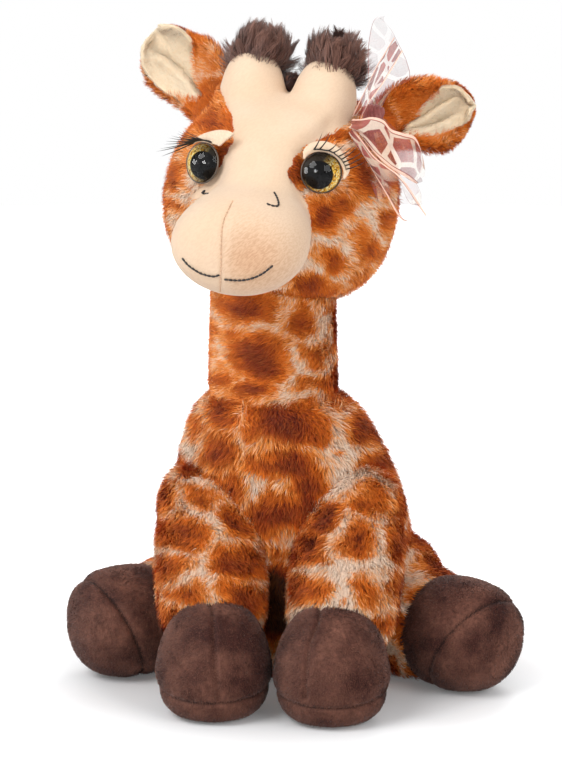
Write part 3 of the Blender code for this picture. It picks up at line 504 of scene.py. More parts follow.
def coat_depth(points, size, stretch, seed):
    """How deep in a patch of the coat each point lies, in millimetres; 0 on the pale lines."""
    rng = np.random.default_rng(seed)
    scale = np.array(stretch) * size
    moved = wobble(points, 0.030, 0.0016, seed + 1)
    moved = wobble(moved, 0.010, 0.0008, seed + 2) / scale
    low = np.floor(moved.min(0)) - 2
    count = (np.ceil(moved.max(0)) + 2 - low).astype(int)
    jitter = rng.uniform(0.12, 0.88, size=(*count, 3))
    cell = np.floor(moved).astype(int)
    nearest = np.full(len(points), 9e9)
    second = np.full(len(points), 9e9)
    for dx in (-1, 0, 1):
        for dy in (-1, 0, 1):
            for dz in (-1, 0, 1):
                there = cell + (dx, dy, dz)
                index = (there - low).astype(int)
                seeds = there + jitter[index[:, 0], index[:, 1], index[:, 2]]
                gap = np.linalg.norm((moved - seeds) * scale, axis=1)
                second = np.minimum(second, np.maximum(nearest, gap))
                nearest = np.minimum(nearest, gap)
    return (second - nearest) / 2 * 1000


# The patches of the coat as they are seen in front: the middle, half width and half height in pixels of the frame, the
# turn in degrees and, for some, how much deeper their colour runs
PATCHES = {
    "body": (
        (224, 411, 17, 18, 0), (286, 423, 43, 23, -5), (329, 401, 16, 12, 0), (357, 426, 23, 16, 15),
        (222, 448, 17, 20, 20), (198, 420, 9, 14, 20), (288, 462, 39, 18, 12), (308, 481, 23, 28, 0),
        (224, 485, 21, 17, -10), (375, 465, 23, 17, 0), (279, 510, 32, 21, -8), (305, 505, 21, 30, 20),
        (350, 499, 27, 16, 10), (387, 499, 16, 18, 0), (178, 477, 10, 18, 15), (280, 550, 15, 12, 0),
        # (277, 596) runs four times deeper: painted shade in the recess between the front legs, not a patch of the coat
        (277, 596, 21, 42, 0, 4), (229, 516, 22, 10, 35, 1.3), (195, 394, 12, 8, 0), (245, 392, 12, 6, 0),
        (288, 392, 34, 8, 0),
    ),
    "front_left": (
        (168, 496, 13, 17, 0), (187, 527, 27, 17, 14), (226, 521, 23, 12, 40, 1.5), (174, 569, 21, 11, -15),
        (229, 561, 25, 15, 10), (188, 591, 17, 10, 10), (241, 596, 20, 14, 0), (167, 613, 18, 12, 0),
        (209, 623, 22, 8, 0), (197, 499, 18, 12, 10),
    ),
    "front_right": (
        (318, 546, 18, 22, 15), (356, 538, 23, 17, 0), (394, 544, 14, 24, 0), (391, 580, 13, 22, 0),
        (308, 590, 22, 17, -20), (369, 591, 14, 17, 0), (377, 617, 18, 10, 0), (328, 516, 27, 12, -35, 1.4),
        (364, 501, 24, 14, 5), (395, 507, 12, 12, 0), (320, 615, 20, 9, 0),
    ),
    "haunch": (
        (419, 538, 15, 17, 0), (428, 566, 23, 17, 20), (418, 595, 14, 13, 0),
    ),
    "neck": (
        (250, 307, 33, 12, 4), (214, 332, 8, 14, 0), (305, 320, 18, 16, 8), (267, 361, 29, 26, 0),
        (219, 376, 16, 14, 20), (315, 354, 17, 12, -10), (330, 345, 11, 11, 0), (312, 381, 27, 8, -8),
        # (258, 387) runs deeper: painted shade at the neck's foot, under the body's collar
        (214, 353, 8, 7, 0), (258, 387, 33, 9, 0, 1.3), (326, 310, 9, 9, 0),
    ),
    "head": (
        (320, 213, 21, 27, -10), (295, 178, 12, 23, 0), (360, 175, 20, 29, 0), (338, 201, 16, 19, 20),
        (362, 246, 18, 22, 10), (331, 257, 20, 19, 0), (383, 217, 13, 18, 0), (310, 283, 29, 14, -15),
        (366, 278, 17, 16, 0), (274, 297, 33, 11, 0), (331, 140, 23, 8, -10), (379, 182, 15, 17, 0),
        (177, 175, 14, 18, 0), (178, 204, 13, 12, -30), (168, 238, 11, 21, 0), (214, 123, 21, 16, -30),
        (188, 131, 14, 12, 0), (207, 100, 17, 11, -20), (174, 155, 11, 11, 0), (224, 155, 8, 11, 0),
        (190, 264, 17, 13, 40),
    ),
}
PIXEL_MM = 0.4376


def on_frame(points):
    """Where the camera sees the points, in pixels of the frame."""
    axes = np.array([tuple(RIGHTWARDS), tuple(UPWARDS), tuple(BACKWARDS)])
    right, up, back = ((points - np.array(tuple(CAMERA_SPOT))) @ axes.T).T
    return FRAME_MIDDLE[0] - FOCAL_PX * right / back, FRAME_MIDDLE[1] + FOCAL_PX * up / back


def patched(points, normals, name, otherwise, grow=3.0):
    """The placed patches where the skin faces the camera, and otherwise the scattered ones, in millimetres."""
    x, y = on_frame(wobble(wobble(points, 0.020, 0.0011, 91), 0.007, 0.0006, 92))
    best, second = np.full((2, len(points)), -12.0)
    for middle_x, middle_y, wide, high, turn, *deeper in PATCHES[name]:
        cosine, sine = math.cos(turn * DEGREE), math.sin(turn * DEGREE)
        along = (x - middle_x) * cosine + (y - middle_y) * sine
        across = (y - middle_y) * cosine - (x - middle_x) * sine
        off = np.sqrt((along / wide) ** 2 + (across / high) ** 2)
        inner = (1 - off) * math.sqrt(wide * high) * PIXEL_MM * 0.85
        inner = np.where(inner > 0, inner * (deeper[0] if deeper else 1), inner)
        second = np.maximum(second, np.minimum(best, inner))
        best = np.maximum(best, inner)
    depth = np.maximum(best, np.minimum(best + grow, (best - second) * 0.45))
    towards_camera = np.array(tuple(CAMERA_SPOT)) - points
    towards_camera /= np.linalg.norm(towards_camera, axis=1)[:, None]
    share = np.clip(((normals * towards_camera).sum(1) - 0.08) / 0.22, 0, 1) * np.clip((best + 7) / 3, 0, 1)
    return np.maximum(depth, -1.2) * share + otherwise * (1 - share)


# fur
FLOOR_LEVEL = 0.0004
SWIRLS = ((420, 90, -160), (-130, 380, 240), (210, -60, 520))


def strands(
    name, mesh, count, length, width, comb, material, body,
    density=None, lift=0.58, curl=0.42, clump=0.35, clump_size=14, coat=None, longer=None,
):
    """Pile on a skin: tapering ribbons rooted all over it, combed and drawn together in locks.

    comb gives each root the way its pile lies; density the share of roots kept; longer its length's share.
    """
    rng = seeded(name)
    points, normals, triangles = points_of(mesh), normals_of(mesh), triangles_of(mesh)
    corners = points[triangles]
    areas = np.linalg.norm(np.cross(corners[:, 1] - corners[:, 0], corners[:, 2] - corners[:, 0]), axis=1)
    if density is not None:
        areas = areas * density(corners.mean(1), normals[triangles].mean(1))
    chosen = np.searchsorted(np.cumsum(areas) / areas.sum(), rng.uniform(size=count))
    chosen = np.minimum(chosen, len(triangles) - 1)
    a, b = rng.uniform(size=(2, count))
    over = a + b > 1
    a[over], b[over] = 1 - a[over], 1 - b[over]
    weights = np.stack([1 - a - b, a, b], 1)[:, :, None]
    roots = (corners[chosen] * weights).sum(1)
    out = (normals[triangles[chosen]] * weights).sum(1)
    out /= np.linalg.norm(out, axis=1)[:, None]
    flow = comb(roots, out)
    flow -= (flow * out).sum(1)[:, None] * out
    flow /= np.maximum(np.linalg.norm(flow, axis=1), 1e-6)[:, None]
    side = np.cross(out, flow)
    long = length * rng.uniform(0.72, 1.12, count)
    if longer is not None:
        long = long * longer(roots)
    swirl = sum(np.sin(roots @ np.array(wave) + k) for k, wave in enumerate(SWIRLS))
    stray = rng.normal(0, curl, count) + swirl * 0.28 * min(curl / 0.42, 1)
    rise = np.clip(lift + rng.normal(0, 0.17, count), 0.08, 1.0)
    heading = flow * np.cos(stray)[:, None] + side * np.sin(stray)[:, None]
    shares = np.array([0.0, 0.36, 0.70, 1.0])
    spine = []
    for share in shares:
        up = rise * share - 0.30 * rise * share**2
        lie = (1 - rise * 0.55) * (0.35 * share + 0.65 * share**2)
        spine.append(roots + (out * (up * long)[:, None]) + heading * (lie * long)[:, None])
    spine = np.stack(spine, 1)
    locks = max(count // clump_size, 1)
    lead = rng.choice(count, locks, replace=False)
    tree = KDTree(locks)
    for number, root in enumerate(lead):
        tree.insert(roots[root], number)
    tree.balance()
    mine = np.array([tree.find(root)[1] for root in roots])
    tip = spine[lead][mine]
    pull = (shares**1.5)[None, :, None] * clump
    offset = (roots - roots[lead][mine])[:, None, :]
    spine += (tip + offset * 0.5 - spine) * pull
    spine[:, :, 2] = np.maximum(spine[:, :, 2], FLOOR_LEVEL)
    tangent = spine[:, -1] - spine[:, 0]
    wide = np.cross(tangent, out)
    wide /= np.maximum(np.linalg.norm(wide, axis=1), 1e-6)[:, None]
    tilt = rng.normal(0, 0.7, count)
    wide = wide * np.cos(tilt)[:, None] + out * np.sin(tilt)[:, None]
    half = width / 2 * rng.uniform(0.7, 1.3, count)
    taper = np.array([0.85, 1.0, 0.70])
    rings = []
    for k in range(3):
        step = wide * (half * taper[k])[:, None]
        rings += [spine[:, k] - step, spine[:, k] + step]
    rings.append(spine[:, 3])
    vertices = np.stack(rings, 1).reshape(-1, 3)
    first = np.arange(count)[:, None] * 7
    quads = np.concatenate([first + (0, 1, 3, 2), first + (2, 3, 5, 4)], 1).reshape(-1, 4)
    tips = (first + (4, 5, 6)).reshape(-1, 3)
    loops = np.concatenate([quads.ravel(), tips.ravel()]).astype(np.int32)
    sizes = np.concatenate([np.full(len(quads), 4), np.full(len(tips), 3)]).astype(np.int32)
    made = bpy.data.meshes.new(name)
    made.vertices.add(len(vertices))
    made.vertices.foreach_set("co", vertices.astype(np.float32).ravel())
    made.loops.add(len(loops))
    made.loops.foreach_set("vertex_index", loops)
    made.polygons.add(len(sizes))
    made.polygons.foreach_set("loop_start", (np.cumsum(sizes) - sizes).astype(np.int32))
    made.update(calc_edges=True)
    made.validate()
    each = lambda values: np.repeat(values, 7, axis=0)
    put_attribute(made, "rest", each(roots))
    put_attribute(made, "along", np.tile(np.array([0, 0, 0.36, 0.36, 0.7, 0.7, 1.0]), count))
    lock_tone = rng.uniform(size=locks)[mine]
    put_attribute(made, "tone", each(np.clip(lock_tone * 0.6 + rng.uniform(size=count) * 0.4, 0, 1)))
    if coat is not None:
        put_attribute(made, "coat", each(coat(roots, out) + rng.normal(0, 0.55, count)))
    bend = wide * np.array([-0.5, 0.5])[:, None, None]
    normal = out + 0.25 * rng.normal(size=(count, 3))
    shading = np.stack([normal + bend[k % 2] if k < 6 else normal for k in range(7)], 1).reshape(-1, 3)
    shading /= np.linalg.norm(shading, axis=1)[:, None]
    made.shade_smooth()
    made.normals_split_custom_set_from_vertices(shading.tolist())
    pile_uv(made, count, loops)
    obj = link(name, made, material)
    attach(obj, body)
    return obj


def pile_uv(mesh, count, loops):
    """A map in which each ribbon has a cell of its own."""
    across = math.ceil(math.sqrt(count))
    corner = np.array([(0, 0), (1, 0), (0, 0.36), (1, 0.36), (0.1, 0.7), (0.9, 0.7), (0.5, 1)]) * 0.8 + 0.1
    strand, spot = loops // 7, loops % 7
    cell = np.stack([strand % across, strand // across], 1)
    layer = mesh.uv_layers.new(name="OFBake")
    layer.data.foreach_set("uv", ((cell + corner[spot]) / across).astype(np.float32).ravel())


# head, face and horns
HEAD_WIDTH, HEAD_DEPTH, HEAD_HEIGHT, HEAD_DROP = 0.099, 0.086, 0.089, 0.007
HEAD_ROWS = (
    (0.0, 0.04, 0.46, 0.52), (0.13, 0.03, 0.81, 0.86), (0.36, 0.0, 0.98, 1.0),
    (0.60, 0.0, 0.98, 0.98), (0.82, 0.03, 0.80, 0.82), (1.0, 0.05, 0.44, 0.46),
)
MUZZLE_WIDTH, MUZZLE_HEIGHT, MUZZLE_REACH, MUZZLE_LIFT = 0.057, 0.043, 0.084, 0.023
MUZZLE_ROWS = (
    (0.25, 0.20, 0.60, 0.70), (0.50, 0.12, 0.86, 0.98), (0.70, 0.02, 1.02, 1.02),
    (0.86, -0.02, 0.94, 0.88), (0.97, -0.03, 0.62, 0.54),
)
BRIDGE_ROWS = (
    (0.0, 0.64, 1.45, 1.40), (0.34, 0.51, 1.08, 1.25), (0.60, 0.41, 0.86, 1.0),
    (0.84, 0.30, 1.40, 0.92), (0.96, 0.22, 1.60, 0.80), (1.06, 0.13, 1.50, 0.55),
)
BRIDGE_WIDTH, BRIDGE_DEPTH, BRIDGE_LENGTH = 0.030, 0.022, 0.054
HORN_RADIUS, HORN_TIP, HORN_LENGTH, HORN_SPREAD = 0.0148, 0.098, 0.046, 0.0165
HORN_PROFILE = (
    (0.0, 0.0), (0.012, 0.25), (0.03, 0.40), (0.07, 0.57), (0.13, 0.71), (0.22, 0.83), (0.36, 0.94), (0.62, 1.04),
    (1.0, 1.10),
)
HEAD = (
    Matrix.Translation(HEAD_PIVOT)
    @ Matrix.Rotation(-6.5 * DEGREE, 4, "Z")
    @ Matrix.Translation((0.002, 0, 0))
    @ Matrix.Rotation(3.5 * DEGREE, 4, "Y")
)


def in_head(points):
    """The points' places in the head's own frame."""
    return in_place(points, HEAD)


def head_form():
    rows = [
        (up * HEAD_HEIGHT - HEAD_DROP, -0.0012 * (up < 0.5), HEAD_DEPTH * back, HEAD_WIDTH / 2 * wide,
         HEAD_DEPTH / 2 * deep)
        for up, back, wide, deep in HEAD_ROWS
    ]
    return cage(rows, HEAD)


def muzzle_form():
    forwards = Matrix.Translation((-0.0012, 0, MUZZLE_LIFT - 0.0014)) @ Matrix(
        ((1, 0, 0, 0), (0, 0, -1, 0), (0, 1, 0, 0), (0, 0, 0, 1))
    )
    rows = [
        (MUZZLE_REACH * reach, 0, MUZZLE_HEIGHT * up, MUZZLE_WIDTH / 2 * wide, MUZZLE_HEIGHT / 2 * high)
        for reach, up, wide, high in MUZZLE_ROWS
    ]
    return cage(rows, HEAD @ forwards)


def bridge_form():
    rows = [
        (MUZZLE_LIFT + BRIDGE_LENGTH * up, 0, -MUZZLE_REACH * reach, BRIDGE_WIDTH / 2 * wide, BRIDGE_DEPTH / 2 * deep)
        for up, reach, wide, deep in BRIDGE_ROWS
    ]
    return cage(rows, HEAD, corners=10)


def horn_place(side):
    splay = side * 5 * DEGREE
    lean = Matrix.Rotation(splay, 4, "Y") @ Matrix.Rotation(14 * DEGREE, 4, "X")
    lower = 0.0014 if side > 0 else 0.0
    tip = Matrix.Translation((side * HORN_SPREAD + lower, 0.001, HORN_TIP - lower))
    return HEAD @ tip @ lean.inverted() @ Matrix.Rotation(2 * splay, 4, "Y")


def horn_form(side):
    profile = [(HORN_RADIUS * wide, -HORN_LENGTH * down) for down, wide in HORN_PROFILE]
    return turned([*profile, (0, -HORN_LENGTH)], horn_place(side))


# height in the head's frame, and how far the pale face reaches to its left and to its right
FACE_REACHES = (
    (0.0, 0.0310, 0.0300), (0.032, 0.0360, 0.0246), (0.0365, 0.0318, 0.0218), (0.0405, 0.0280, 0.0190),
    (0.044, 0.0248, 0.0160), (0.0475, 0.0205, 0.0134), (0.0510, 0.0178, 0.0122), (0.056, 0.0160, 0.0134),
    (0.0615, 0.0136, 0.0168), (0.066, 0.0140, 0.0250), (0.0700, 0.0160, 0.0285), (0.0735, 0.0195, 0.0305),
    (0.080, 0.0265, 0.0320), (0.090, 0.0340, 0.0340), (0.14, 0.0340, 0.0340),
)


def face_half(at):
    heights, left, right = zip(*FACE_REACHES)
    return np.where(at[:, 0] < 0, np.interp(at[:, 2], heights, left), np.interp(at[:, 2], heights, right))


FORMS = {"head": tree_of(head_form()), "muzzle": tree_of(muzzle_form())}


def muzzle_lead(points, at):
    """How much nearer each point lies to the muzzle's form than to the head's, in metres."""
    lead = np.full(len(points), -1.0)
    for number in np.flatnonzero((at[:, 2] < 0.056) & (at[:, 1] < -0.018)):
        spot = Vector(points[number])
        lead[number] = FORMS["head"].find_nearest(spot)[3] - FORMS["muzzle"].find_nearest(spot)[3]
    return lead


def face_share(points):
    """1 on the pale face, 0 on the fur of the head, in between along its border."""
    at = in_head(points)
    half = face_half(at) + 0.0006 * np.sin(at[:, 2] * 900) * np.sin(at[:, 2] * 377 + at[:, 0] * 200)
    across = np.clip((half - np.abs(at[:, 0])) / 0.0022 + 0.5, 0, 1)
    behind = np.interp(at[:, 2], (0.0, 0.045, 0.052, 0.078, 0.082), (-0.032, -0.026, -0.012, -0.004, 0.030))
    across *= np.clip((behind - at[:, 1]) / 0.003 + 0.5, 0, 1) * np.clip((at[:, 2] - 0.0355) / 0.0015, 0, 1)
    return np.maximum(across, np.clip(muzzle_lead(points, at) / 0.0012 + 0.6, 0, 1))


def head_coat(points, normals):
    return patched(points, normals, "head", coat_depth(points, 0.025, (1.0, 1.0, 0.9), 11) + 0.9, 4.0)


def eased_brow(mesh):
    """The forehead smoothed, so that the bridge runs on into the horns and down to the muzzle."""
    obj = link("brow", mesh)
    at = in_head(points_of(mesh))
    share = np.clip((0.027 - np.abs(at[:, 0])) / 0.010, 0, 1) * np.clip((-0.004 - at[:, 1]) / 0.008, 0, 1)
    share *= np.interp(at[:, 2], (0.030, 0.040, 0.086, 0.094), (0, 1, 1, 0))
    group = obj.vertex_groups.new(name="brow")
    for level in range(1, 6):
        chosen = np.flatnonzero(np.round(share * 5) == level)
        group.add(chosen.tolist(), level / 5, "REPLACE")
    smooth = obj.modifiers.new("brow", "SMOOTH")
    smooth.factor = 0.5
    smooth.iterations = 160
    smooth.vertex_group = "brow"
    return baked(obj)


def build_head():
    skin = fused(
        [head_form(), muzzle_form(), bridge_form(), horn_form(-1), horn_form(1)], 0.0008, 30
    )
    skin = eased_brow(skin)
    set_points(skin, points_of(skin) + normals_of(skin) * 0.0004)
    groove_face(skin)
    centres = face_centres(skin)
    pale = face_share(centres) > 0.5
    horn_top = in_head(centres)[:, 2] > 0.082
    side = in_head(centres)[:, 0] > 0.0005
    parts = (
        ("head_skin", ~pale, "fur_skin", "head"),
        ("face_skin", pale & ~horn_top, "cream", "face"),
        ("horn_skin_left", pale & horn_top & ~side, "cream", "horn_left"),
        ("horn_skin_right", pale & horn_top & side, "cream", "horn_right"),
    )
    for name, keep, finish, node in parts:
        mesh = kept_faces(skin, keep)
        at = in_head(points_of(mesh))
        # Where the velour is painted in shade: the muzzle's lower right, away from the key lamp
        shaded_low_right = np.exp(-(((at[:, 0] - 0.009) / 0.017) ** 2) - ((at[:, 2] - 0.018) / 0.013) ** 2)
        skin_piece(name, mesh, finish, "head", node, head_coat)
        put_attribute(mesh, "low_right_shade", shaded_low_right * np.clip(at[:, 0] / 0.008 + 0.8, 0.3, 1))
    return skin


def gap_to(points, path):
    """How far each point lies from a path of points."""
    path = np.array([tuple(p) for p in path])
    best = np.full(len(points), 9.0)
    for a, b in zip(path, path[1:]):
        along = b - a
        share = np.clip((points - a) @ along / (along @ along), 0, 1)
        best = np.minimum(best, np.linalg.norm(points - a - share[:, None] * along, axis=1))
    return best


def seam_groove(mesh, path, radius, depth):
    """Presses a sewn seam into the skin along a path of points."""
    points, normals = points_of(mesh), normals_of(mesh)
    press = depth * np.exp(-((gap_to(points, path) / radius) ** 2))
    set_points(mesh, points - normals * press[:, None])


PATH_SHARES = (0, 1 / 3, 2 / 3)


def surface_path(mesh, pixels):
    """The photograph's line of pixels, laid on the skin that the camera sees there."""
    pixels = eased(pixels)
    tree = tree_of(mesh)
    dense = [
        (x0 + (x1 - x0) * share, y0 + (y1 - y0) * share)
        for (x0, y0), (x1, y1) in zip(pixels, pixels[1:])
        for share in PATH_SHARES
    ]
    hits = (tree.ray_cast(CAMERA_SPOT, through(x, y))[0] for x, y in [*dense, pixels[-1]])
    return [spot for spot in hits if spot is not None]


FACE_SEAM = ((233, 200), (229, 208), (224, 219), (221.5, 232), (221, 248), (220.5, 272), (220, 295))


def groove_face(skin):
    seam_groove(skin, surface_path(skin, FACE_SEAM), 0.0007, 0.0007)


def eased(pixels, steps=5):
    """The line of pixels drawn as a smooth curve."""
    pixels = np.array(pixels, float)
    marks = np.arange(len(pixels))
    fine = np.linspace(0, len(pixels) - 1, (len(pixels) - 1) * steps + 1)
    return list(zip(smooth_through(marks, pixels[:, 0], fine), smooth_through(marks, pixels[:, 1], fine)))


def flat_flow(direction):
    return lambda roots, out: np.tile(np.array(direction, float), (len(roots), 1))


def head_flow(roots, out):
    """Away from the face, outwards and down over the cheeks."""
    at = in_head(roots)
    flow = np.stack([at[:, 0] * 14, at[:, 1] * 6 + 0.35, (at[:, 2] - 0.045) * 10 - 0.35], 1)
    high = np.clip((at[:, 2] - 0.055) / 0.02, 0, 1)[:, None]
    return flow * (1 - high) + np.array([0, 0.8, 0.4]) * high + flow * high * 0.5


def build_head_fur(skin):
    off_face = lambda centres, normals: 1 - np.clip(face_share(centres) * 1.4, 0, 1)
    edge = lambda roots: 0.55 + 0.45 * (1 - np.clip(near_face(roots), 0, 1))
    for part in ("a", "b", "c"):
        strands(
            f"head_fur_{part}", skin, 38000, 0.0062, 0.00029, head_flow, MATERIALS["fur"], "head",
            density=off_face, coat=head_coat, longer=edge, lift=0.78 if part == "c" else 0.56, curl=0.50,
        )


def near_face(points):
    at = in_head(points)
    return np.where(at[:, 1] < 0.0, 1 - np.clip((np.abs(at[:, 0]) - face_half(at)) / 0.008, 0, 1), 0)


# body, neck, legs
BODY_HEIGHT, BODY_WIDTH, BODY_DEPTH, BODY_SETBACK, BODY_LEAN = 0.132, 0.100, 0.086, 0.024, 0.008
BODY_ROWS = (
    (-0.035, 1.0, 0.66, 0.64), (0.09, 1.0, 0.96, 0.94), (0.36, 0.92, 1.05, 1.02), (0.64, 0.60, 0.99, 0.99),
    (0.84, 0.22, 0.80, 0.87), (1.0, 0.0, 0.59, 0.68), (1.15, 0.0, 0.55, 0.61),
)


def flattened(mesh):
    """The form pressed flat where it stands on the floor."""
    points = points_of(mesh)
    points[:, 2] = np.maximum(points[:, 2], FLOOR_LEVEL)
    set_points(mesh, points)
    return mesh


def body_form():
    rows = [
        (up * BODY_HEIGHT, -BODY_LEAN * up**2, BODY_SETBACK * back, BODY_WIDTH / 2 * wide, BODY_DEPTH / 2 * deep)
        for up, back, wide, deep in BODY_ROWS[:-1]
    ]
    return cage(rows, Matrix.Translation(ORIGIN), corners=12)


def neck_form():
    length = 0.044
    profile = []
    for radius, centre, first, last in ((0.0254, length, 90, 0), (0.0268, 0.0, 0, -90)):
        for step in range(10):
            turn = (first + (last - first) * step / 9) * DEGREE
            profile.append((max(radius * math.cos(turn), 0), centre + radius * math.sin(turn)))
    rows = [(0.0, length + 0.0254), *profile[1:10]]
    rows += [(0.0255 + 0.0012 * k / 8, length * (1 - k / 8)) for k in range(1, 8)]
    rows += [*profile[10:-1], (0.0, -0.0268)]
    return turned(rows, Matrix.Translation(NECK_PIVOT))


def towards(start, end, up):
    forward = (Vector(end) - Vector(start)).normalized()
    across = Vector(up).cross(forward).normalized()
    placed = Matrix((across, forward.cross(across), forward)).transposed().to_4x4()
    placed.translation = start
    return placed


SHOULDER = (0.0295, 0.010, 0.079)  # spread, reach, height
ANKLE = (0.0250, 0.045, 0.031)
LEG_RADIUS = 0.0230
LEG_ROWS = ((-0.20, 0.62), (0.02, 0.86), (0.34, 0.96), (0.70, 0.93), (1.08, 0.86))
SHOULDER_DRIFT = {-1: -0.0058, 1: -0.0010}
ANKLE_DRIFT = {-1: -0.0022, 1: 0.0014}
HOOF_SPREAD, HOOF_REACH, HOOF_WIDTH, HOOF_DEPTH, HOOF_HEIGHT = 0.0250, 0.0580, 0.0480, 0.0460, 0.0520
HOOF_ROWS = (
    (-0.02, 0.0, 0.55, 0.56), (0.12, 0.0, 0.90, 0.92), (0.40, 0.0, 1.04, 1.04), (0.70, 0.02, 0.90, 0.90),
    (0.96, 0.06, 0.46, 0.46),
)
HIP = (0.0360, -0.027)
HIP_RADIUS, HIND_SPLAY, HIND_REACH = 0.0255, 52 * DEGREE, 0.048
THIGH_ROWS = ((-0.10, 0.84), (0.18, 1.0), (0.58, 0.97), (0.88, 0.84))
HIND_HOOF_RADIUS, HIND_HOOF_LENGTH = 0.0248, 0.055
HIND_HOOF_ROWS = ((-0.50, 0.55), (-0.34, 0.90), (-0.04, 1.03), (0.26, 0.95), (0.47, 0.56))


def limb(length, radius, shares, place):
    return cage([(length * s, 0, 0, radius * w, radius * w) for s, w in shares], place, corners=10)


def ball(radius, centre):
    steps = 24
    profile = [
        (radius * math.sin(math.pi * k / steps), radius * math.cos(math.pi * k / steps)) for k in range(steps + 1)
    ]
    profile[0], profile[-1] = (0, radius), (0, -radius)
    return turned(profile, Matrix.Translation(centre))


def front_leg(side):
    """The leg's form, the way it points, and its hoof's form."""
    shoulder = ORIGIN + Vector((side * SHOULDER[0] + SHOULDER_DRIFT[side], -SHOULDER[1] + 0.001, SHOULDER[2]))
    ankle = ORIGIN + Vector((side * ANKLE[0] + ANKLE_DRIFT[side], -ANKLE[1], ANKLE[2]))
    along = towards(shoulder, ankle, (0, 1, 0))
    leg = limb((ankle - shoulder).length, LEG_RADIUS, LEG_ROWS, along)
    rows = [
        (HOOF_HEIGHT * up - 0.0005, 0, HOOF_DEPTH * back, HOOF_WIDTH / 2 * wide, HOOF_DEPTH / 2 * deep)
        for up, back, wide, deep in HOOF_ROWS
    ]
    hoof = cage(rows, Matrix.Translation(ORIGIN + Vector((side * HOOF_SPREAD, -HOOF_REACH, 0))), corners=10)
    skin = fused([leg, ball(LEG_RADIUS * 0.88, shoulder)], 0.0013, 24)
    return skin, (ankle - shoulder).normalized(), hoof


def hind_leg(side):
    hip = ORIGIN + Vector((side * HIP[0], -HIP[1], HIP_RADIUS - 0.0005))
    heading = Vector((side * math.sin(HIND_SPLAY), -math.cos(HIND_SPLAY), 0))
    along = towards(hip, hip + heading, (0, 0, 1))
    leg = limb(HIND_REACH, HIP_RADIUS, THIGH_ROWS, along)
    middle = along.copy()
    further = 0.0025 if side > 0 else 0.0
    middle.translation = hip + heading * (HIND_REACH + further) + Vector((0, 0, HIND_HOOF_RADIUS - HIP_RADIUS))
    hoof = limb(HIND_HOOF_LENGTH, HIND_HOOF_RADIUS, HIND_HOOF_ROWS, middle)
    forms = [leg, ball(HIP_RADIUS, hip)]
    if side > 0:
        forms.append(ball(0.0240, hip + heading * 0.006 + Vector((0, 0, 0.0135))))
    return flattened(fused(forms, 0.0013, 30)), heading, flattened(hoof), middle


def skin_piece(name, mesh, finish, body, node, coat=None):
    mesh.name = name
    put_attribute(mesh, "rest", points_of(mesh))
    if coat is not None:
        put_attribute(mesh, "coat", coat(points_of(mesh), normals_of(mesh)))
    mesh.shade_smooth()
    obj = link(name, mesh, MATERIALS[finish])
    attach(obj, body)
    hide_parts(node)
    return obj


def body_coat(roots, normals):
    return patched(roots, normals, "body", coat_depth(roots, 0.031, (0.95, 1.0, 0.95), 5) + 0.3)


# The neck's patches grow further than elsewhere: partly its pattern, partly painted shade under the head
def neck_coat(roots, normals):
    return patched(roots, normals, "neck", coat_depth(roots, 0.026, (1.10, 1.1, 0.85), 23) + 0.6, 5.6)


def leg_coat(name):
    def coat(roots, normals):
        scattered = coat_depth(roots, 0.028, (1.0, 1.0, 1.0), 31) + 0.3
        return patched(roots, normals, name, scattered) if name in PATCHES else scattered

    return coat


def body_flow(roots, out):
    return np.stack([roots[:, 0] * 6, np.zeros(len(roots)), np.full(len(roots), -1.0)], 1)


def collar_flow(roots, out):
    return out * 0.2 + np.array([0, 0, 1.0])


def neck_flow(roots, out):
    around = np.cross(out, (0, 0, 1))
    return around * 0.9 + np.array([0, 0, -0.35])


def build_trunk():
    above_floor = lambda centres, normals: np.where(normals[:, 2] < -0.6, 0.05, 1.0)
    body = flattened(body_form())
    skin_piece("body_skin", body, "fur_skin", "body", "body", body_coat)
    for part in ("a", "b", "c"):
        strands(f"body_fur_{part}", body, 39000, 0.0066, 0.00030, body_flow, MATERIALS["fur"], "body",
                density=above_floor, coat=body_coat, lift=0.80 if part == "c" else 0.58)
    collar = lambda centres, normals: np.exp(-(((centres[:, 2] - NECK_PIVOT.z + 0.003) / 0.0045) ** 2))
    strands("body_collar_fur", body, 16000, 0.0062, 0.00030, collar_flow, MATERIALS["fur"], "body",
            density=collar, coat=body_coat, lift=0.85, curl=0.7)
    neck = neck_form()
    skin_piece("neck_skin", neck, "fur_skin", "neck", "neck", neck_coat)
    bare = lambda centres, normals: np.where(np.abs(normals[:, 2]) > 0.55, 0.1, 1.0)
    for part in ("a", "b"):
        strands(f"neck_fur_{part}", neck, 36000, 0.0052, 0.00029, neck_flow, MATERIALS["fur"], "neck",
                density=bare, coat=neck_coat, lift=0.45)


def build_legs():
    above_floor = lambda centres, normals: np.where(centres[:, 2] < 0.004, 0.05, 1.0)
    for name, side in SIDES.items():
        leg, heading, hoof = front_leg(side)
        body = f"front_leg_{name}"
        coat = leg_coat(f"front_{name}")
        skin_piece(f"front_leg_skin_{name}", leg, "fur_skin", body, f"front_leg_{name}", coat)
        for part in ("a", "b"):
            strands(f"front_leg_fur_{name}_{part}", leg, 33000, 0.0066, 0.00030, flat_flow(heading),
                    MATERIALS["fur"], body, density=above_floor, coat=coat, lift=0.58 if part == "a" else 0.78)
        build_hoof(name, hoof, "front", body)
        thigh, heading, hind_hoof, middle = hind_leg(side)
        body = f"hind_leg_{name}"
        coat = leg_coat("haunch" if side > 0 else "scattered")
        skin_piece(f"hind_leg_skin_{name}", thigh, "fur_skin", body, f"hind_leg_{name}", coat)
        strands(f"hind_leg_fur_{name}", thigh, 38000, 0.0062, 0.00030, flat_flow(heading), MATERIALS["fur"], body,
                density=above_floor, coat=coat)
        build_hoof(name, hind_hoof, "hind", body, middle)


SEAM_PIXELS = {
    ("front", "left"): [(211, 600), (213, 626), (214, 660), (218, 701)],
    ("front", "right"): [(322, 600), (317, 622), (308, 648), (305, 670), (305, 698)],
}

HIND_SOLE_TILT = {"left": 24 * DEGREE, "right": 32 * DEGREE}


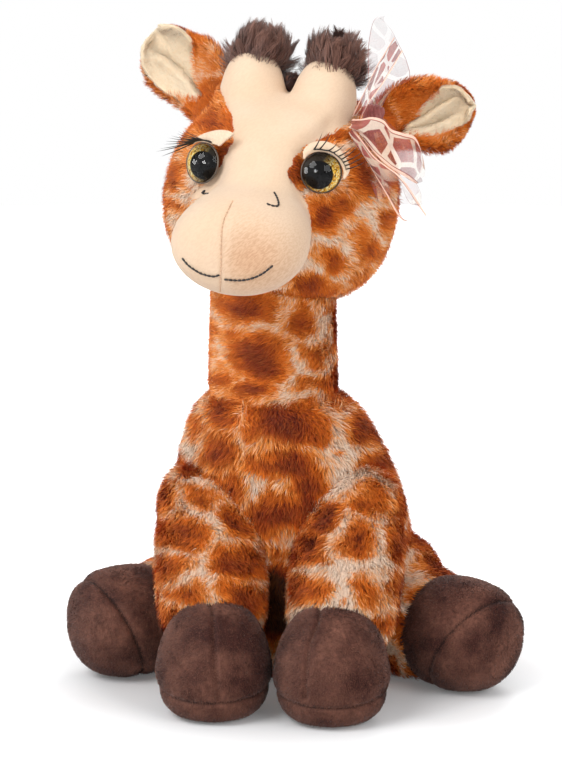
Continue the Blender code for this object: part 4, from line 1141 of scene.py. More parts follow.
def build_hoof(name, mesh, kind, body, middle=None):
    """A plush hoof in its upper and its sole, with the sewn seam between them pressed in."""
    if kind == "front":
        tilt = Matrix.Rotation(7 * DEGREE, 4, "X").to_3x3()
        seam_normal = np.array(tilt @ Vector((0, 0, 1)))
        seam_spot = np.array(ORIGIN + Vector((SIDES[name] * HOOF_SPREAD, -HOOF_REACH, 0.0135)))
    else:
        tilt = HIND_SOLE_TILT[name]
        seam_normal = np.array(middle.to_3x3().col[2] * -math.cos(tilt) + Vector((0, 0, math.sin(tilt))))
        seam_spot = np.array(middle @ Vector((0, 0, 0.0085)))
    points, normals = points_of(mesh), normals_of(mesh)
    off = (points - seam_spot) @ seam_normal
    seam = np.exp(-((off / 0.0010) ** 2))
    plump = 0.0005 * np.exp(-((np.abs(off) / 0.006 - 1) ** 2) * 3)
    points = points - normals * (seam * 0.0011)[:, None] + normals * plump[:, None]
    points[:, 2] = np.maximum(points[:, 2], FLOOR_LEVEL)
    set_points(mesh, points)
    middle_seam = surface_path(mesh, SEAM_PIXELS[kind, name]) if (kind, name) in SEAM_PIXELS else None

    def bare(centres, normals):
        """The share of the nap that stands: little of it on the seams, none underneath."""
        stands = 1 - 0.9 * np.exp(-((((centres - seam_spot) @ seam_normal) / 0.0006) ** 2))
        if middle_seam:
            stands *= 1 - 0.9 * np.exp(-((gap_to(centres, middle_seam) / 0.0005) ** 2))
        return np.where(centres[:, 2] < 0.0015, 0.02, stands)

    if middle_seam:
        seam_groove(mesh, middle_seam, 0.0011, 0.0014)
        seam = np.maximum(seam, np.exp(-((gap_to(points_of(mesh), middle_seam) / 0.0009) ** 2)))
    # The seam darkens the pile material there: painted shade in the pressed seam
    put_attribute(mesh, "seam", seam)
    centres = face_centres(mesh)
    upper = (centres - seam_spot) @ seam_normal > 0
    for part, keep in (("hoof", upper), ("sole", ~upper)):
        skin_piece(f"{kind}_{part}_skin_{name}", kept_faces(mesh, keep), "hoof", body, f"{kind}_{part}_{name}")
    nap = lambda roots, out: np.cross(out, (0.3, 0.2, 1.0)) * 0.4 + np.array([0, 0, -1.0])
    strands(f"{kind}_hoof_nap_{name}", mesh, 34000, 0.0011, 0.00022, nap, MATERIALS["hoof"], body,
            density=bare, lift=0.7, clump=0.1)


# eyes, lids, lashes and stitches
EYE_RADIUS, EYE_DOME = 0.0086, 0.0062


def eye_place(side):
    spot = Matrix.Translation((side * 0.0250 - (0.0006 if side < 0 else 0), -0.0365, 0.0515))
    aside = Matrix.Rotation(side * 24 * DEGREE, 4, "Z")
    return HEAD @ spot @ aside @ Matrix.Rotation(90 * DEGREE - 6 * DEGREE, 4, "X")


# where the pupil is seen under each dome, across and up, in metres, and the side on which its foil is painted as lit
PUPIL_SHIFT = {"left": (0.0021, -0.0009), "right": (-0.0014, -0.0012)}
FOIL_LIGHT = {"left": (-0.9, 0.1), "right": (0.75, -0.65)}


def eye_material(name):
    """Painted under the dome: a black pupil, a ring of gold glitter lit on one side and in painted shade on the other,
    and a dark edge.
    """
    nodes = Nodes(f"painted_eye_{name}")
    where = nodes.place()
    split = nodes.add("ShaderNodeSeparateXYZ")
    nodes.put(split, 0, where)

    def reach(across, up):
        x = nodes.math("SUBTRACT", split.outputs[0], across)
        y = nodes.math("SUBTRACT", split.outputs[1], up)
        squares = nodes.math("ADD", nodes.math("MULTIPLY", x, x), nodes.math("MULTIPLY", y, y))
        return nodes.math("MULTIPLY", nodes.math("SQRT", squares), 1 / EYE_RADIUS)

    flakes = nodes.voronoi(1700, where, output="Color")
    bright = nodes.add("ShaderNodeSeparateColor")
    nodes.put(bright, 0, flakes)
    glitter = nodes.ramp(
        bright.outputs[0],
        [(0.0, srgb(104, 62, 8)), (0.3, srgb(222, 152, 26)), (0.55, srgb(255, 206, 62)), (0.85, srgb(255, 248, 190))],
    )
    # The foil is painted bright and metallic on one side as if lit, and in painted shade on the other, under the lid
    across, up = FOIL_LIGHT[name]
    shares = [nodes.math("MULTIPLY", split.outputs[k], (across, up)[k]) for k in (0, 1)]
    lit = nodes.levels(nodes.math("ADD", *shares), -0.0034, 0.0026)
    gold = nodes.mix(lit, srgb(46, 38, 30), glitter)
    ring = nodes.levels(reach(*PUPIL_SHIFT[name]), 0.66, 0.70)
    edge = nodes.levels(reach(0.0, 0.0), 0.93, 0.97)
    colour = nodes.mix(ring, srgb(4, 3, 4), gold)
    colour = nodes.mix(edge, colour, srgb(74, 60, 48))
    nodes.put(nodes.shader, "Metallic", nodes.math("MULTIPLY", nodes.math("MULTIPLY", ring, lit), 0.30))
    rough = nodes.math("ADD", nodes.math("MULTIPLY", bright.outputs[1], 0.3), 0.25)
    return nodes.surface(colour, rough, Specular_IOR_Level=0.05)


def dome_material():
    """The clear shell over the painted eye."""
    nodes = Nodes("clear_dome")
    tree = nodes.tree
    clear = nodes.add("ShaderNodeBsdfTransparent")
    gloss = nodes.add("ShaderNodeBsdfGlossy")
    gloss.inputs["Roughness"].default_value = 0.02
    fresnel = nodes.add("ShaderNodeFresnel")
    fresnel.inputs["IOR"].default_value = 1.32
    mixed = nodes.add("ShaderNodeMixShader")
    tree.links.new(fresnel.outputs[0], mixed.inputs[0])
    tree.links.new(clear.outputs[0], mixed.inputs[1])
    tree.links.new(gloss.outputs[0], mixed.inputs[2])
    tree.links.new(mixed.outputs[0], nodes.out.inputs["Surface"])
    return nodes.material


def plastic_material(name, colour, roughness=0.35):
    nodes = Nodes(name)
    fine = nodes.levels(nodes.noise(2500, 2.0), 0.3, 0.7, 0.0, 0.25)
    return nodes.surface(nodes.mix(fine, colour, tuple(c * 0.75 for c in colour)), roughness)


def placed(name, mesh, material, body, local=None):
    """A rigid little piece; its rest attribute counts in its own frame where one is given."""
    mesh.name = name
    points = points_of(mesh)
    if local is not None:
        points = in_place(points, local)
    put_attribute(mesh, "rest", points)
    mesh.shade_smooth()
    obj = link(name, mesh, material)
    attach(obj, body)
    return obj


def dome_profile(radius, dome, base, steps=14):
    curve = (radius**2 + (dome - base) ** 2) / (2 * (dome - base))
    reach = math.asin(radius / curve)
    return [
        (curve * math.sin(reach * k / steps), dome - curve + curve * math.cos(reach * k / steps))
        for k in range(steps + 1)
    ]


def build_eyes():
    clear = dome_material()
    rim_finish = plastic_material("eye_rim", srgb(86, 74, 62))
    washer_finish = plastic_material("washer_plastic", srgb(226, 224, 216), 0.45)
    for name, side in SIDES.items():
        place = eye_place(side)
        inner = dome_profile(EYE_RADIUS * 0.95, EYE_DOME * 0.80, 0.0010)
        inner = [*inner, (0.0022, 0.0008), (0.0020, -0.004), (0, -0.004)]
        eye = placed(f"eye_ball_{name}", turned(inner, place), eye_material(name), "head", place)
        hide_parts(f"eye_{name}")
        shell = dome_profile(EYE_RADIUS * 0.97, EYE_DOME, 0.0012, 20)
        placed(f"eye_dome_{name}", turned([*shell, (EYE_RADIUS * 0.965, 0.0010)], place), clear, "head", place)
        ring = []
        for k in range(13):
            turn = 2 * math.pi * k / 12
            ring.append((EYE_RADIUS * 0.985 + 0.00028 * math.cos(turn), 0.0007 + 0.0005 * math.sin(turn)))
        rim = placed(f"eye_rim_{name}", turned(ring, place), rim_finish, "head", place)
        washer = bpy.data.objects[f"eye_washer_{name}"]
        washer.data.materials.clear()
        washer.data.materials.append(washer_finish)
        put_attribute(washer.data, "rest", points_of(washer.data))


# around the eye from its top, in degrees: how far the lid reaches, in eye radii
LID_REACH = {
    "left": ((-34, 1.08), (-18, 1.24), (0, 1.40), (16, 1.62), (32, 1.98), (44, 2.30), (50, 2.42)),
    "right": ((-56, 1.12), (-44, 1.36), (-28, 1.48), (-6, 1.50), (20, 1.45), (54, 1.34), (84, 1.34), (104, 1.12)),
}
# and from where it starts there
LID_INNER = {
    "left": ((-34, 1.02), (0, 1.02), (16, 1.04), (32, 1.10), (44, 1.26), (50, 1.34)),
    "right": ((-56, 0.98), (104, 0.98)),
}

LID_BLUNT = {"left": 0.83, "right": 1.0}


def eye_height(flat):
    """How high the clear dome stands at a distance from the eye's axis."""
    curve = (EYE_RADIUS**2 + (EYE_DOME - 0.0012) ** 2) / (2 * (EYE_DOME - 0.0012))
    if flat >= EYE_RADIUS * 0.98:
        return 0.0012
    return EYE_DOME - curve + math.sqrt(curve**2 - flat**2)


def build_lids(skin):
    """Felt lids: a thick soft crescent from the top of each eye back to the skin."""
    columns, rows = 48, 14
    tree = tree_of(skin)
    lids = {}
    for name, side in SIDES.items():
        place = eye_place(side)
        forward = place.to_3x3() @ Vector((0, 0, 1))
        turns, reaches = zip(*LID_REACH[name])
        heights = np.zeros((columns + 1, rows + 1))
        spots = []
        for column in range(columns + 1):
            around = turns[0] + (turns[-1] - turns[0]) * column / columns
            end = math.sin(math.pi * min(column / columns, LID_BLUNT[name])) ** 0.5
            outer = EYE_RADIUS * smooth_through(np.array(turns, float), np.array(reaches), np.array([around]))[0]
            inner = EYE_RADIUS * np.interp(around, *zip(*LID_INNER[name]))
            inner += (outer - inner) * (0.6 if around < 0 or side > 0 else 0.2) * (1 - end)
            line = []
            for row in range(rows + 1):
                flat = inner + (outer - inner) * row / rows
                turn = around * DEGREE
                spot = Vector((math.sin(turn) * flat, math.cos(turn) * flat, 0))
                hit = tree.ray_cast(place @ (spot + Vector((0, 0, 0.02))), -forward)[0]
                floor = 0.0 if hit is None else (place.inverted() @ hit).z
                heights[column, row] = max(floor, eye_height(flat)) + 0.0007 + 0.0008 * math.sin(
                    math.pi * min(row / rows * 1.2, 1)
                ) * end
                line.append(spot)
            spots.append(line)
        for _ in range(6):
            padded = np.pad(heights, 1, mode="edge")
            soft = (padded[:-2, 1:-1] + padded[2:, 1:-1] + padded[1:-1, :-2] + padded[1:-1, 2:]) / 4
            heights = np.maximum(heights * 0.4 + soft * 0.6, 0)
        bm = bmesh.new()
        grid = [
            [bm.verts.new(place @ (spots[c][r] + Vector((0, 0, heights[c, r])))) for r in range(rows + 1)]
            for c in range(columns + 1)
        ]
        for this, after in zip(grid, grid[1:]):
            for row in range(rows):
                bm.faces.new((this[row], after[row], after[row + 1], this[row + 1]))
        bmesh.ops.recalc_face_normals(bm, faces=bm.faces)
        obj = link(f"eyelid_felt_{name}", mesh_from(bm, f"eyelid_felt_{name}"))
        thick = obj.modifiers.new("felt", "SOLIDIFY")
        thick.thickness = 0.0010
        thick.offset = 0
        mesh = baked(obj)
        lid = placed(f"eyelid_felt_{name}", mesh, MATERIALS["felt"], "head")
        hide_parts(f"eyelid_{name}")
        lids[name] = mesh
    return lids


def bristle(bm, route, radius, sides=6):
    """A hair that tapers to its tip along the route."""
    rings = []
    for k, point in enumerate(route[:-1]):
        ahead = (route[k + 1] - point).normalized()
        across = ahead.cross(Vector((0.2, 0.9, 0.4))).normalized()
        up = ahead.cross(across)
        size = radius * (1 - (k / (len(route) - 1)) ** 1.6)
        turns = [2 * math.pi * s / sides for s in range(sides)]
        rings.append([
            bm.verts.new(point + across * (size * math.cos(turn)) + up * (size * math.sin(turn))) for turn in turns
        ])
    tip = bm.verts.new(route[-1])
    tube(bm, rings)
    for s in range(sides):
        bm.faces.new((rings[-1][s], rings[-1][(s + 1) % sides], tip))
    bm.faces.new(list(reversed(rings[0])))


# each lash from its root's pixel in the photograph to its tip's
LASHES = {
    "left": (
        ((210, 143), (184, 130)), ((206, 142.5), (178, 131)), ((202, 142.5), (176, 133)), ((199, 143.5), (171, 135)),
        ((196, 145), (168, 137)), ((193, 147), (165, 141)), ((190.5, 149), (163, 144)), ((188.5, 151), (160, 148)),
        ((186.5, 153), (156, 151.5)), ((185, 155), (160, 157)),
    ),
    "right": (
        ((315.3, 150.6), (322, 132)), ((320.7, 152), (332, 132)), ((329, 154), (339, 141)), ((333, 156), (345, 143.5)),
        ((337.5, 159), (353.5, 146.5)), ((341.4, 161), (358, 146)), ((343.7, 163.6), (363.5, 150.5)),
        ((346, 166.7), (366.5, 154)), ((347, 170), (368, 160)),
    ),
}
LASH_EXTRAS = {"left": 1, "right": 1}


def build_lashes(lids):
    black = plastic_material("lash_fibre", srgb(26, 18, 18), 0.4)
    for name, side in SIDES.items():
        place = eye_place(side)
        forward = place.to_3x3() @ Vector((0, 0, 1))
        depth = (place.translation - CAMERA_SPOT).length
        tree = tree_of(lids[name])
        bm = bmesh.new()
        rng = seeded(f"lash_{name}")
        seats = []
        for (x0, y0), (x1, y1) in LASHES[name]:
            seat = CAMERA_SPOT + through(x0, y0) * (depth - EYE_DOME)
            seats.append(tree.find_nearest(seat)[0] + forward * 0.0002)
            for extra in range(LASH_EXTRAS[name]):
                wide = 0.8 + 1.4 * extra
                jitter = rng.uniform(-wide, wide, 3)
                tip = CAMERA_SPOT + through(x1 + jitter[0], y1 + jitter[1]) * (depth - 0.0105 + jitter[2] * 0.0006)
                root = seats[-1] + forward * 0.0002 + RIGHTWARDS * (rng.uniform(-0.0007, 0.0007) * extra)
                middle = (root + tip) / 2 + forward * 0.0016 - UPWARDS * 0.0010
                steps = [k / 8 for k in range(9)]
                route = [root * (1 - t) ** 2 + middle * (2 * t * (1 - t)) + tip * t**2 for t in steps]
                bristle(bm, route, 0.00031 if extra == 0 else 0.00020)
        bristle(bm, [*seats, seats[-1] + (seats[-1] - seats[-2])], 0.00034)
        obj = placed(f"lashes_{name}", mesh_from(bm, f"lashes_{name}"), black, "head")
        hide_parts(f"eyelash_{name}")


STITCHES = {
    "mouth_stitch_left": [(182, 258), (189, 266), (201, 273.5), (213, 276.5), (219.5, 275)],
    "mouth_stitch_right": [(224, 279.5), (238, 280.5), (250, 279), (262, 274), (273, 265.5)],
    "nostril_stitch_left": [(205.5, 190.5), (202, 192.3), (204.5, 193.7), (208.5, 193.5)],
    "nostril_stitch_right": [(274, 192), (276.8, 197), (278.6, 203), (277.5, 206), (272, 205.5), (266.5, 203.5)],
}


STITCH_LENGTH = 0.0018
STITCH_SPAN = (0.19, 0.81)  # the share of each stitch that lies above the cloth


def build_stitches(skin):
    """Thick thread in separate sewn stitches, each dipping into the plush at its ends."""
    black = plastic_material("black_thread", srgb(34, 26, 26), 0.6)
    pale = plastic_material("cream_thread", srgb(222, 184, 152), 0.8)
    for name, pixels in [*STITCHES.items(), ("face_seam", FACE_SEAM)]:
        thread, thick = (pale, 0.00020) if name == "face_seam" else (black, 0.00042)
        route = surface_path(skin, pixels)
        total = sum((b - a).length for a, b in zip(route, route[1:]))
        count = max(2, round(total / STITCH_LENGTH))
        marks = np.cumsum([0] + [(b - a).length for a, b in zip(route, route[1:])])
        flat = np.array([tuple(p) for p in route])
        at = lambda d: Vector([np.interp(d, marks, flat[:, k]) for k in range(3)])
        bm = bmesh.new()
        for number in range(count):
            low, high = (total * (number + share) / count for share in STITCH_SPAN)
            spine = []
            for k in range(9):
                t = k / 8
                spot = at(low + (high - low) * t)
                out = (CAMERA_SPOT - spot).normalized()
                spine.append(spot + out * (0.0008 * math.sin(math.pi * t) ** 0.6 - 0.0002))
            rings = []
            for k, point in enumerate(spine):
                ahead = (spine[min(k + 1, 8)] - spine[max(k - 1, 0)]).normalized()
                across = ahead.cross(BACKWARDS).normalized()
                up = ahead.cross(across)
                rings.append([
                    bm.verts.new(point + (across * math.cos(a) + up * math.sin(a)) * thick)
                    for a in np.linspace(0, 2 * math.pi, 7)[:-1]
                ])
            sleeve(bm, rings)
        obj = placed(f"{name}_thread", mesh_from(bm, f"{name}_thread"), thread, "head")
        if name in STITCHES:
            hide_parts(name)


# ears
EAR_LENGTH = 0.046
EAR_RAISE = {"left": 50 * DEGREE, "right": 14 * DEGREE}
# share of the ear's length, and where its two edges lie there, in millimetres across it
EAR_EDGES = {
    "left": ((0.0, -6, 7), (0.12, -7.5, 11), (0.24, -8.6, 14.2), (0.39, -11.6, 16.2), (0.54, -14.4, 16.8),
             (0.64, -15.2, 14.8), (0.70, -15.2, 12.4), (0.82, -13.8, 10.6), (0.92, -9.6, 7.6), (0.97, -4.5, 4.0)),
    "right": ((0.0, -7, 6), (0.14, -11, 7.4), (0.33, -15.6, 9.6), (0.45, -16.2, 11.6), (0.57, -15.6, 13.0),
              (0.70, -13.8, 11.8), (0.79, -12.8, 9.0), (0.86, -10.6, 5.6), (0.92, -6.6, 1.4), (0.94, -4.0, -1.0)),
}
LINING_EDGES = {
    "left": ((0.22, -3.4, -0.6), (0.28, -6.6, 0.2), (0.36, -9.6, 1.4), (0.45, -12.0, 3.0), (0.57, -13.8, 6.6),
             (0.70, -14.4, 11.0), (0.82, -13.6, 10.8), (0.92, -9.8, 9.4), (0.98, -5.0, 6.6), (1.015, -0.5, 3.4)),
    "right": ((0.26, 1.8, 4.2), (0.35, -1.2, 5.8), (0.42, -4.2, 6.8), (0.58, -9.9, 7.6), (0.71, -12.6, 6.8),
              (0.83, -11.8, 5.2), (0.90, -9.4, 2.8), (0.95, -6.4, 0.0), (0.975, -4.4, -2.4)),
}
# the creases of the lining: share of the length and millimetres across, and the side that lies in front
EAR_FOLDS = {
    "left": ((-1, ((0.20, -1.0), (0.42, -1.3), (0.58, -2.6), (0.73, -4.3), (0.86, -7.2))),),
    "right": (
        (1, ((0.26, 2.0), (0.49, -1.2), (0.68, -5.2), (0.78, -6.6))),
        (1, ((0.30, 4.0), (0.52, 3.6), (0.69, 2.0), (0.78, 0.6))),
    ),
}
MILLIMETRE = 0.001


def ear_place(name):
    side = SIDES[name]
    lie = Matrix.Rotation(side * (math.pi / 2 - EAR_RAISE[name]), 4, "Y")
    return Matrix.Translation(JOINTS[f"ear_bend_{name}"]) @ (HEAD.to_3x3() @ lie.to_3x3()).to_4x4()


def edges_at(edges, along):
    shares, low, high = zip(*edges)
    return np.interp(along, shares, low) * MILLIMETRE, np.interp(along, shares, high) * MILLIMETRE


def ear_surface(name, along, x, offset):
    """A point of the ear: a leaf cupped forwards, with the creases of its root; offset is towards its back."""
    low, high = edges_at(EAR_EDGES[name], along)
    across = (2 * x - low - high) / max(high - low, MILLIMETRE)
    y = 0.0020 - 0.0042 * min(abs(across), 1.1) ** 2.4 + 0.0035 * math.sin(math.pi * along * 0.9) + offset
    for front, line in EAR_FOLDS[name]:
        shares, places = zip(*line)
        off = (x - np.interp(along, shares, places) * MILLIMETRE) * front
        fade = np.interp(along, (0.05, 0.25, shares[-1] - 0.12, shares[-1] + 0.08), (0.2, 1.0, 1.0, 0.0))
        step = 1 / (1 + math.exp(-off / 0.00030))
        y -= 0.0019 * fade * step * math.exp(-((off / 0.0034) ** 2))
        y += 0.0019 * fade * (1 - step) * math.exp(-((off / 0.0030) ** 2))
    return Vector((x, y, EAR_LENGTH * along))


def ear_sheet(name, place, edges, offset, thickness):
    columns = rows = 56
    bm = bmesh.new()
    grid = []
    start, end = edges[0][0], edges[-1][0]
    for row in range(rows + 1):
        along = start + (end - start) * row / rows
        low, high = edges_at(edges, along)
        grid.append([
            bm.verts.new(place @ ear_surface(name, along, low + (high - low) * c / columns, offset))
            for c in range(columns + 1)
        ])
    spread_cloth(bm, grid)
    bmesh.ops.recalc_face_normals(bm, faces=bm.faces)
    obj = link("ear_sheet", mesh_from(bm, "ear_sheet"))
    thick = obj.modifiers.new("cloth", "SOLIDIFY")
    thick.thickness = thickness
    thick.offset = 0
    round_edges = obj.modifiers.new("soft", "SUBSURF")
    round_edges.levels = round_edges.render_levels = 1
    return baked(obj)


def ear_coat(roots, normals):
    return np.minimum(coat_depth(roots, 0.024, (1.0, 1.0, 1.0), 47) + 0.4, 2.4)


def build_ears():
    for name in SIDES:
        body = f"ear_{name}"
        place = ear_place(name)
        shell = ear_sheet(name, place, EAR_EDGES[name], 0.0018, 0.0026)
        shell = fused([shell, ball(0.0062, place @ Vector((0, 0.001, 0.001)))], 0.0008, 6)
        skin_piece(f"ear_skin_{name}", shell, "fur_skin", body, f"ear_{name}", ear_coat)
        lining = ear_sheet(name, place, LINING_EDGES[name], -0.0009, 0.0017)
        skin_piece(f"ear_lining_skin_{name}", lining, "lining", body, f"ear_lining_{name}")
        front = np.array(place.to_3x3() @ Vector((0, -1, 0)))
        tip = np.array(place.to_3x3() @ Vector((0, 0, 1)))

        def off_lining(centres, normals, name=name, place=place, front=front):
            local = in_place(centres, place)
            along = local[:, 2] / EAR_LENGTH
            low, high = edges_at(LINING_EDGES[name], along)
            covered = (local[:, 0] > low - 0.0002) & (local[:, 0] < high + 0.0002) & (along > LINING_EDGES[name][0][0])
            return np.where((normals @ front > -0.1) & covered, 0.0, 1.0)

        def shorter(roots, place=place):
            return np.interp(in_place(roots, place)[:, 2] / EAR_LENGTH, (0.0, 0.60, 0.85, 1.0), (1.1, 1.0, 0.45, 0.30))

        strands(f"ear_fur_{name}", shell, 26000, 0.0060, 0.00028, flat_flow(tip), MATERIALS["fur"], body,
                density=off_lining, coat=ear_coat, lift=0.70, curl=0.6, longer=shorter)
        strands(f"ear_nap_{name}", lining, 12000, 0.0010, 0.0002, flat_flow(tip), MATERIALS["lining"], body,
                density=lambda centres, normals, front=front: (normals @ front > 0.1) * 1.0, lift=0.6, clump=0.1)


# tufts, manes and tail
def at_roots(obj, *names):
    """Gives a backing the dark tone of the pile's roots."""
    for name in names:
        put_attribute(obj.data, name, np.zeros(len(obj.data.vertices)))


def up_flow(axis, centre, spread):
    axis, centre = np.array(axis, float), np.array(centre, float)

    def flow(roots, out):
        away = roots - centre
        return away / np.maximum(np.linalg.norm(away, axis=1), 1e-6)[:, None] * spread + axis

    return flow


def build_tufts():
    for name, side in SIDES.items():
        place = horn_place(side) @ Matrix.Translation((0.0016, 0.0018, -0.0034))
        heart = np.array(place @ Vector((0, 0, -0.0050)))
        core = turned(
            [(0, 0.0042), (0.0032, 0.0036), (0.0056, 0.0018), (0.0068, -0.0015), (0.0064, -0.0045), (0, -0.0065)],
            place, steps=32,
        )
        skin = skin_piece(f"tuft_skin_{name}", core, "dark_fur", "head", f"horn_tuft_{name}")
        at_roots(skin, "tone", "along")
        axis = np.array(place.to_3x3() @ Vector((0, 0, 1)))
        forward = np.array(HEAD.to_3x3() @ Vector((0, -1, 0)))

        def stand(centres, normals, axis=axis, forward=forward):
            return np.clip(normals @ axis + 0.50 - np.clip(normals @ forward, 0, 1) * 0.20, 0.0, 1)

        ragged = lambda roots: 0.95 + 0.20 * np.sin(roots @ np.array((900.0, 500.0, 300.0)))
        for part, count, clump in (("a", 9000, 0.94), ("b", 7000, 0.70)):
            strands(f"tuft_fur_{name}_{part}", core, count, 0.0156, 0.00026, up_flow(axis, heart, 1.7),
                    MATERIALS["dark_fur"], "head", lift=1.0, curl=0.34, clump=clump, clump_size=34,
                    density=stand, longer=ragged)


def build_manes(head_skin):
    back = []
    for shift, up in ((1.00, 0.10), (1.08, 0.35), (1.05, 0.60), (0.86, 0.82), (0.60, 0.96), (0.25, 1.04), (0.02, 1.05)):
        back.append(HEAD @ Vector((0, HEAD_DEPTH / 2 * shift, HEAD_HEIGHT * up - HEAD_DROP)))
    tree = tree_of(head_skin)
    seated = [tree.find_nearest(spot)[0] for spot in back]
    low_in_front = lambda roots: np.interp(in_head(roots)[:, 1], (0.002, 0.030), (0.30, 1.0))
    crest(seated, "head_mane_fur", "head", "head_mane", 0.0042, 12000, 0.0125, low_in_front)
    nape = [NECK_PIVOT + Vector((0, 0.0272, 0.006 + 0.004 * k)) for k in range(8)]
    crest(nape, "neck_mane_fur", "neck", "neck_mane", 0.0040, 7000, 0.0115)


def crest(route, name, body, node, radius, count, length, longer=None):
    """A strip of long dark pile, on its backing."""
    bm = bmesh.new()
    rings = []
    for k, point in enumerate(route):
        ahead = (route[min(k + 1, len(route) - 1)] - route[max(k - 1, 0)]).normalized()
        across = ahead.cross(Vector((0, 1, 0.01))).normalized()
        up = across.cross(ahead)
        rings.append([
            bm.verts.new(point + across * (radius * math.cos(a)) + up * (radius * 0.5 * math.sin(a)))
            for a in np.linspace(0, 2 * math.pi, 13)[:-1]
        ])
    sleeve(bm, rings)
    bmesh.ops.recalc_face_normals(bm, faces=bm.faces)
    mesh = mesh_from(bm, name)
    backing = skin_piece(name.replace("fur", "backing"), mesh, "dark_fur", body, node)
    at_roots(backing, "tone", "along")
    ends = np.array([tuple(p) for p in route])

    def flow(roots, out):
        near = np.argmin(np.linalg.norm(roots[:, None] - ends[None], axis=2), axis=1)
        ahead = ends[np.maximum(near - 1, 0)] - ends[np.minimum(near + 1, len(ends) - 1)]
        return ahead / np.maximum(np.linalg.norm(ahead, axis=1), 1e-9)[:, None] * 0.5

    strands(name, mesh, count, length, 0.0005, flow, MATERIALS["dark_fur"], body, lift=0.85, curl=0.6,
            clump=0.6, clump_size=30, longer=longer,
            density=lambda centres, normals: np.clip(normals[:, 1] + normals[:, 2] + 0.3, 0, 1))


TAIL_SLOPE = 26 * DEGREE


def build_tail():
    heading = Vector((0, math.cos(TAIL_SLOPE), -math.sin(TAIL_SLOPE)))
    start = JOINTS["tail_lift"]
    place = towards(start - heading * 0.004, start + heading, (1, 0, 0))
    rows = [(0.0, 0, 0, 0.0052, 0.0052), (0.012, 0, 0, 0.0046, 0.0046), (0.026, 0, 0, 0.0044, 0.0044),
            (0.037, 0, 0, 0.0042, 0.0042)]
    tail = cage(rows, place, levels=3)
    coat = lambda roots, normals: coat_depth(roots, 0.014, (1.0, 1.0, 1.0), 61) + 0.5
    skin_piece("tail_skin", tail, "fur_skin", "tail", "tail", coat)
    strands("tail_fur", tail, 9000, 0.0050, 0.00034, flat_flow(heading), MATERIALS["fur"], "tail", coat=coat)
    end = towards(start + heading * 0.0345, start + heading, (1, 0, 0))
    core = cage([(0.0, 0, 0, 0.0045, 0.0045), (0.007, 0, 0, 0.0066, 0.0066), (0.015, 0, 0, 0.0050, 0.0050),
                 (0.021, 0, 0, 0.002, 0.002)], end, levels=3)
    tuft = skin_piece("tail_tuft_skin", core, "dark_fur", "tail", "tail_tuft")
    at_roots(tuft, "tone")
    strands("tail_tuft_fur", core, 7000, 0.0125, 0.0005, flat_flow(heading), MATERIALS["dark_fur"], "tail",
            lift=0.42, curl=0.4, clump=0.6, clump_size=36)


GRAIN_WAVES = ((2200, 900, 0), (0, 2100, 1300), (1500, 0, 2300))


def build_bag():
    """The granule bag inside the body, slumped over its grains."""
    rows = [(0.030 * up, 0, 0, 0.012 * wide, 0.010 * wide)
            for up, wide in ((-0.5, 0.55), (-0.30, 0.92), (0.0, 1.03), (0.30, 0.92), (0.5, 0.55))]
    mesh = cage(rows, Matrix.Translation(ORIGIN + Vector((0, 0.044, 0.026))))
    points, normals = points_of(mesh), normals_of(mesh)
    lumps = sum(np.sin(points @ np.array(wave) + k) for k, wave in enumerate(GRAIN_WAVES))
    set_points(mesh, points + normals * (lumps * 0.00006)[:, None])
    skin_piece("granule_bag_skin", mesh, "bag", "body", "granule_bag")


# bow
def ribbon_material():
    """Sheer organza: a weave that lets light by, dusty printed patches, pale lines between them and satin edges."""
    nodes = Nodes("organza")
    cloth = nodes.attribute("cloth", "Vector")
    split = nodes.add("ShaderNodeSeparateXYZ")
    nodes.put(split, 0, cloth)
    cells = nodes.voronoi(0.85, cloth, "DISTANCE_TO_EDGE")
    printed = nodes.levels(cells, 0.085, 0.105)
    tint = nodes.noise(0.9, 2.0, where=cloth)
    patch = nodes.ramp(nodes.levels(tint, 0.35, 0.65), [(0.0, srgb(126, 46, 44)), (1.0, srgb(178, 96, 86))])
    colour = nodes.mix(printed, srgb(246, 226, 206), patch)
    across = nodes.math("ABSOLUTE", split.outputs[0])
    piping = nodes.levels(across, 0.80, 0.82)
    colour = nodes.mix(piping, colour, srgb(140, 62, 54))
    edge = nodes.levels(across, 0.845, 0.865)
    colour = nodes.mix(edge, colour, srgb(250, 206, 184))
    weave = nodes.noise(26.0, 1.0, where=cloth)
    faded = nodes.levels(nodes.noise(0.45, 1.0, where=cloth), 0.40, 0.60, 0.62, 0.84)
    faded = nodes.math("MULTIPLY", faded, nodes.attribute("print"))
    veil = nodes.attribute("veil")
    cover = nodes.math("MAXIMUM", nodes.math("MULTIPLY", printed, faded), veil)
    cover = nodes.math("ADD", cover, nodes.levels(weave, 0.35, 0.65, -0.05, 0.05))
    cover = nodes.math("MAXIMUM", cover, nodes.math("MULTIPLY", piping, 0.90), clamp=True)
    nodes.put(nodes.shader, "Alpha", cover)
    return nodes.surface(colour, 0.55, Sheen_Weight=0.4, Specular_IOR_Level=0.25)


MATERIALS["ribbon"] = ribbon_material()


# in the head's frame: the knot's middle, and the place from which the bands' depths count
KNOT_PLACE = (0.0405, -0.0140, 0.0740)
BAND_ROOT = (0.0395, -0.0135, 0.072)


def on_screen(x, y, depth):
    """A point seen at the photograph's pixel, depth millimetres nearer the camera than the knot."""
    way = through(x, y)
    base = (HEAD @ Vector(BAND_ROOT) - CAMERA_SPOT).length
    return CAMERA_SPOT + way * (base - depth * MILLIMETRE)


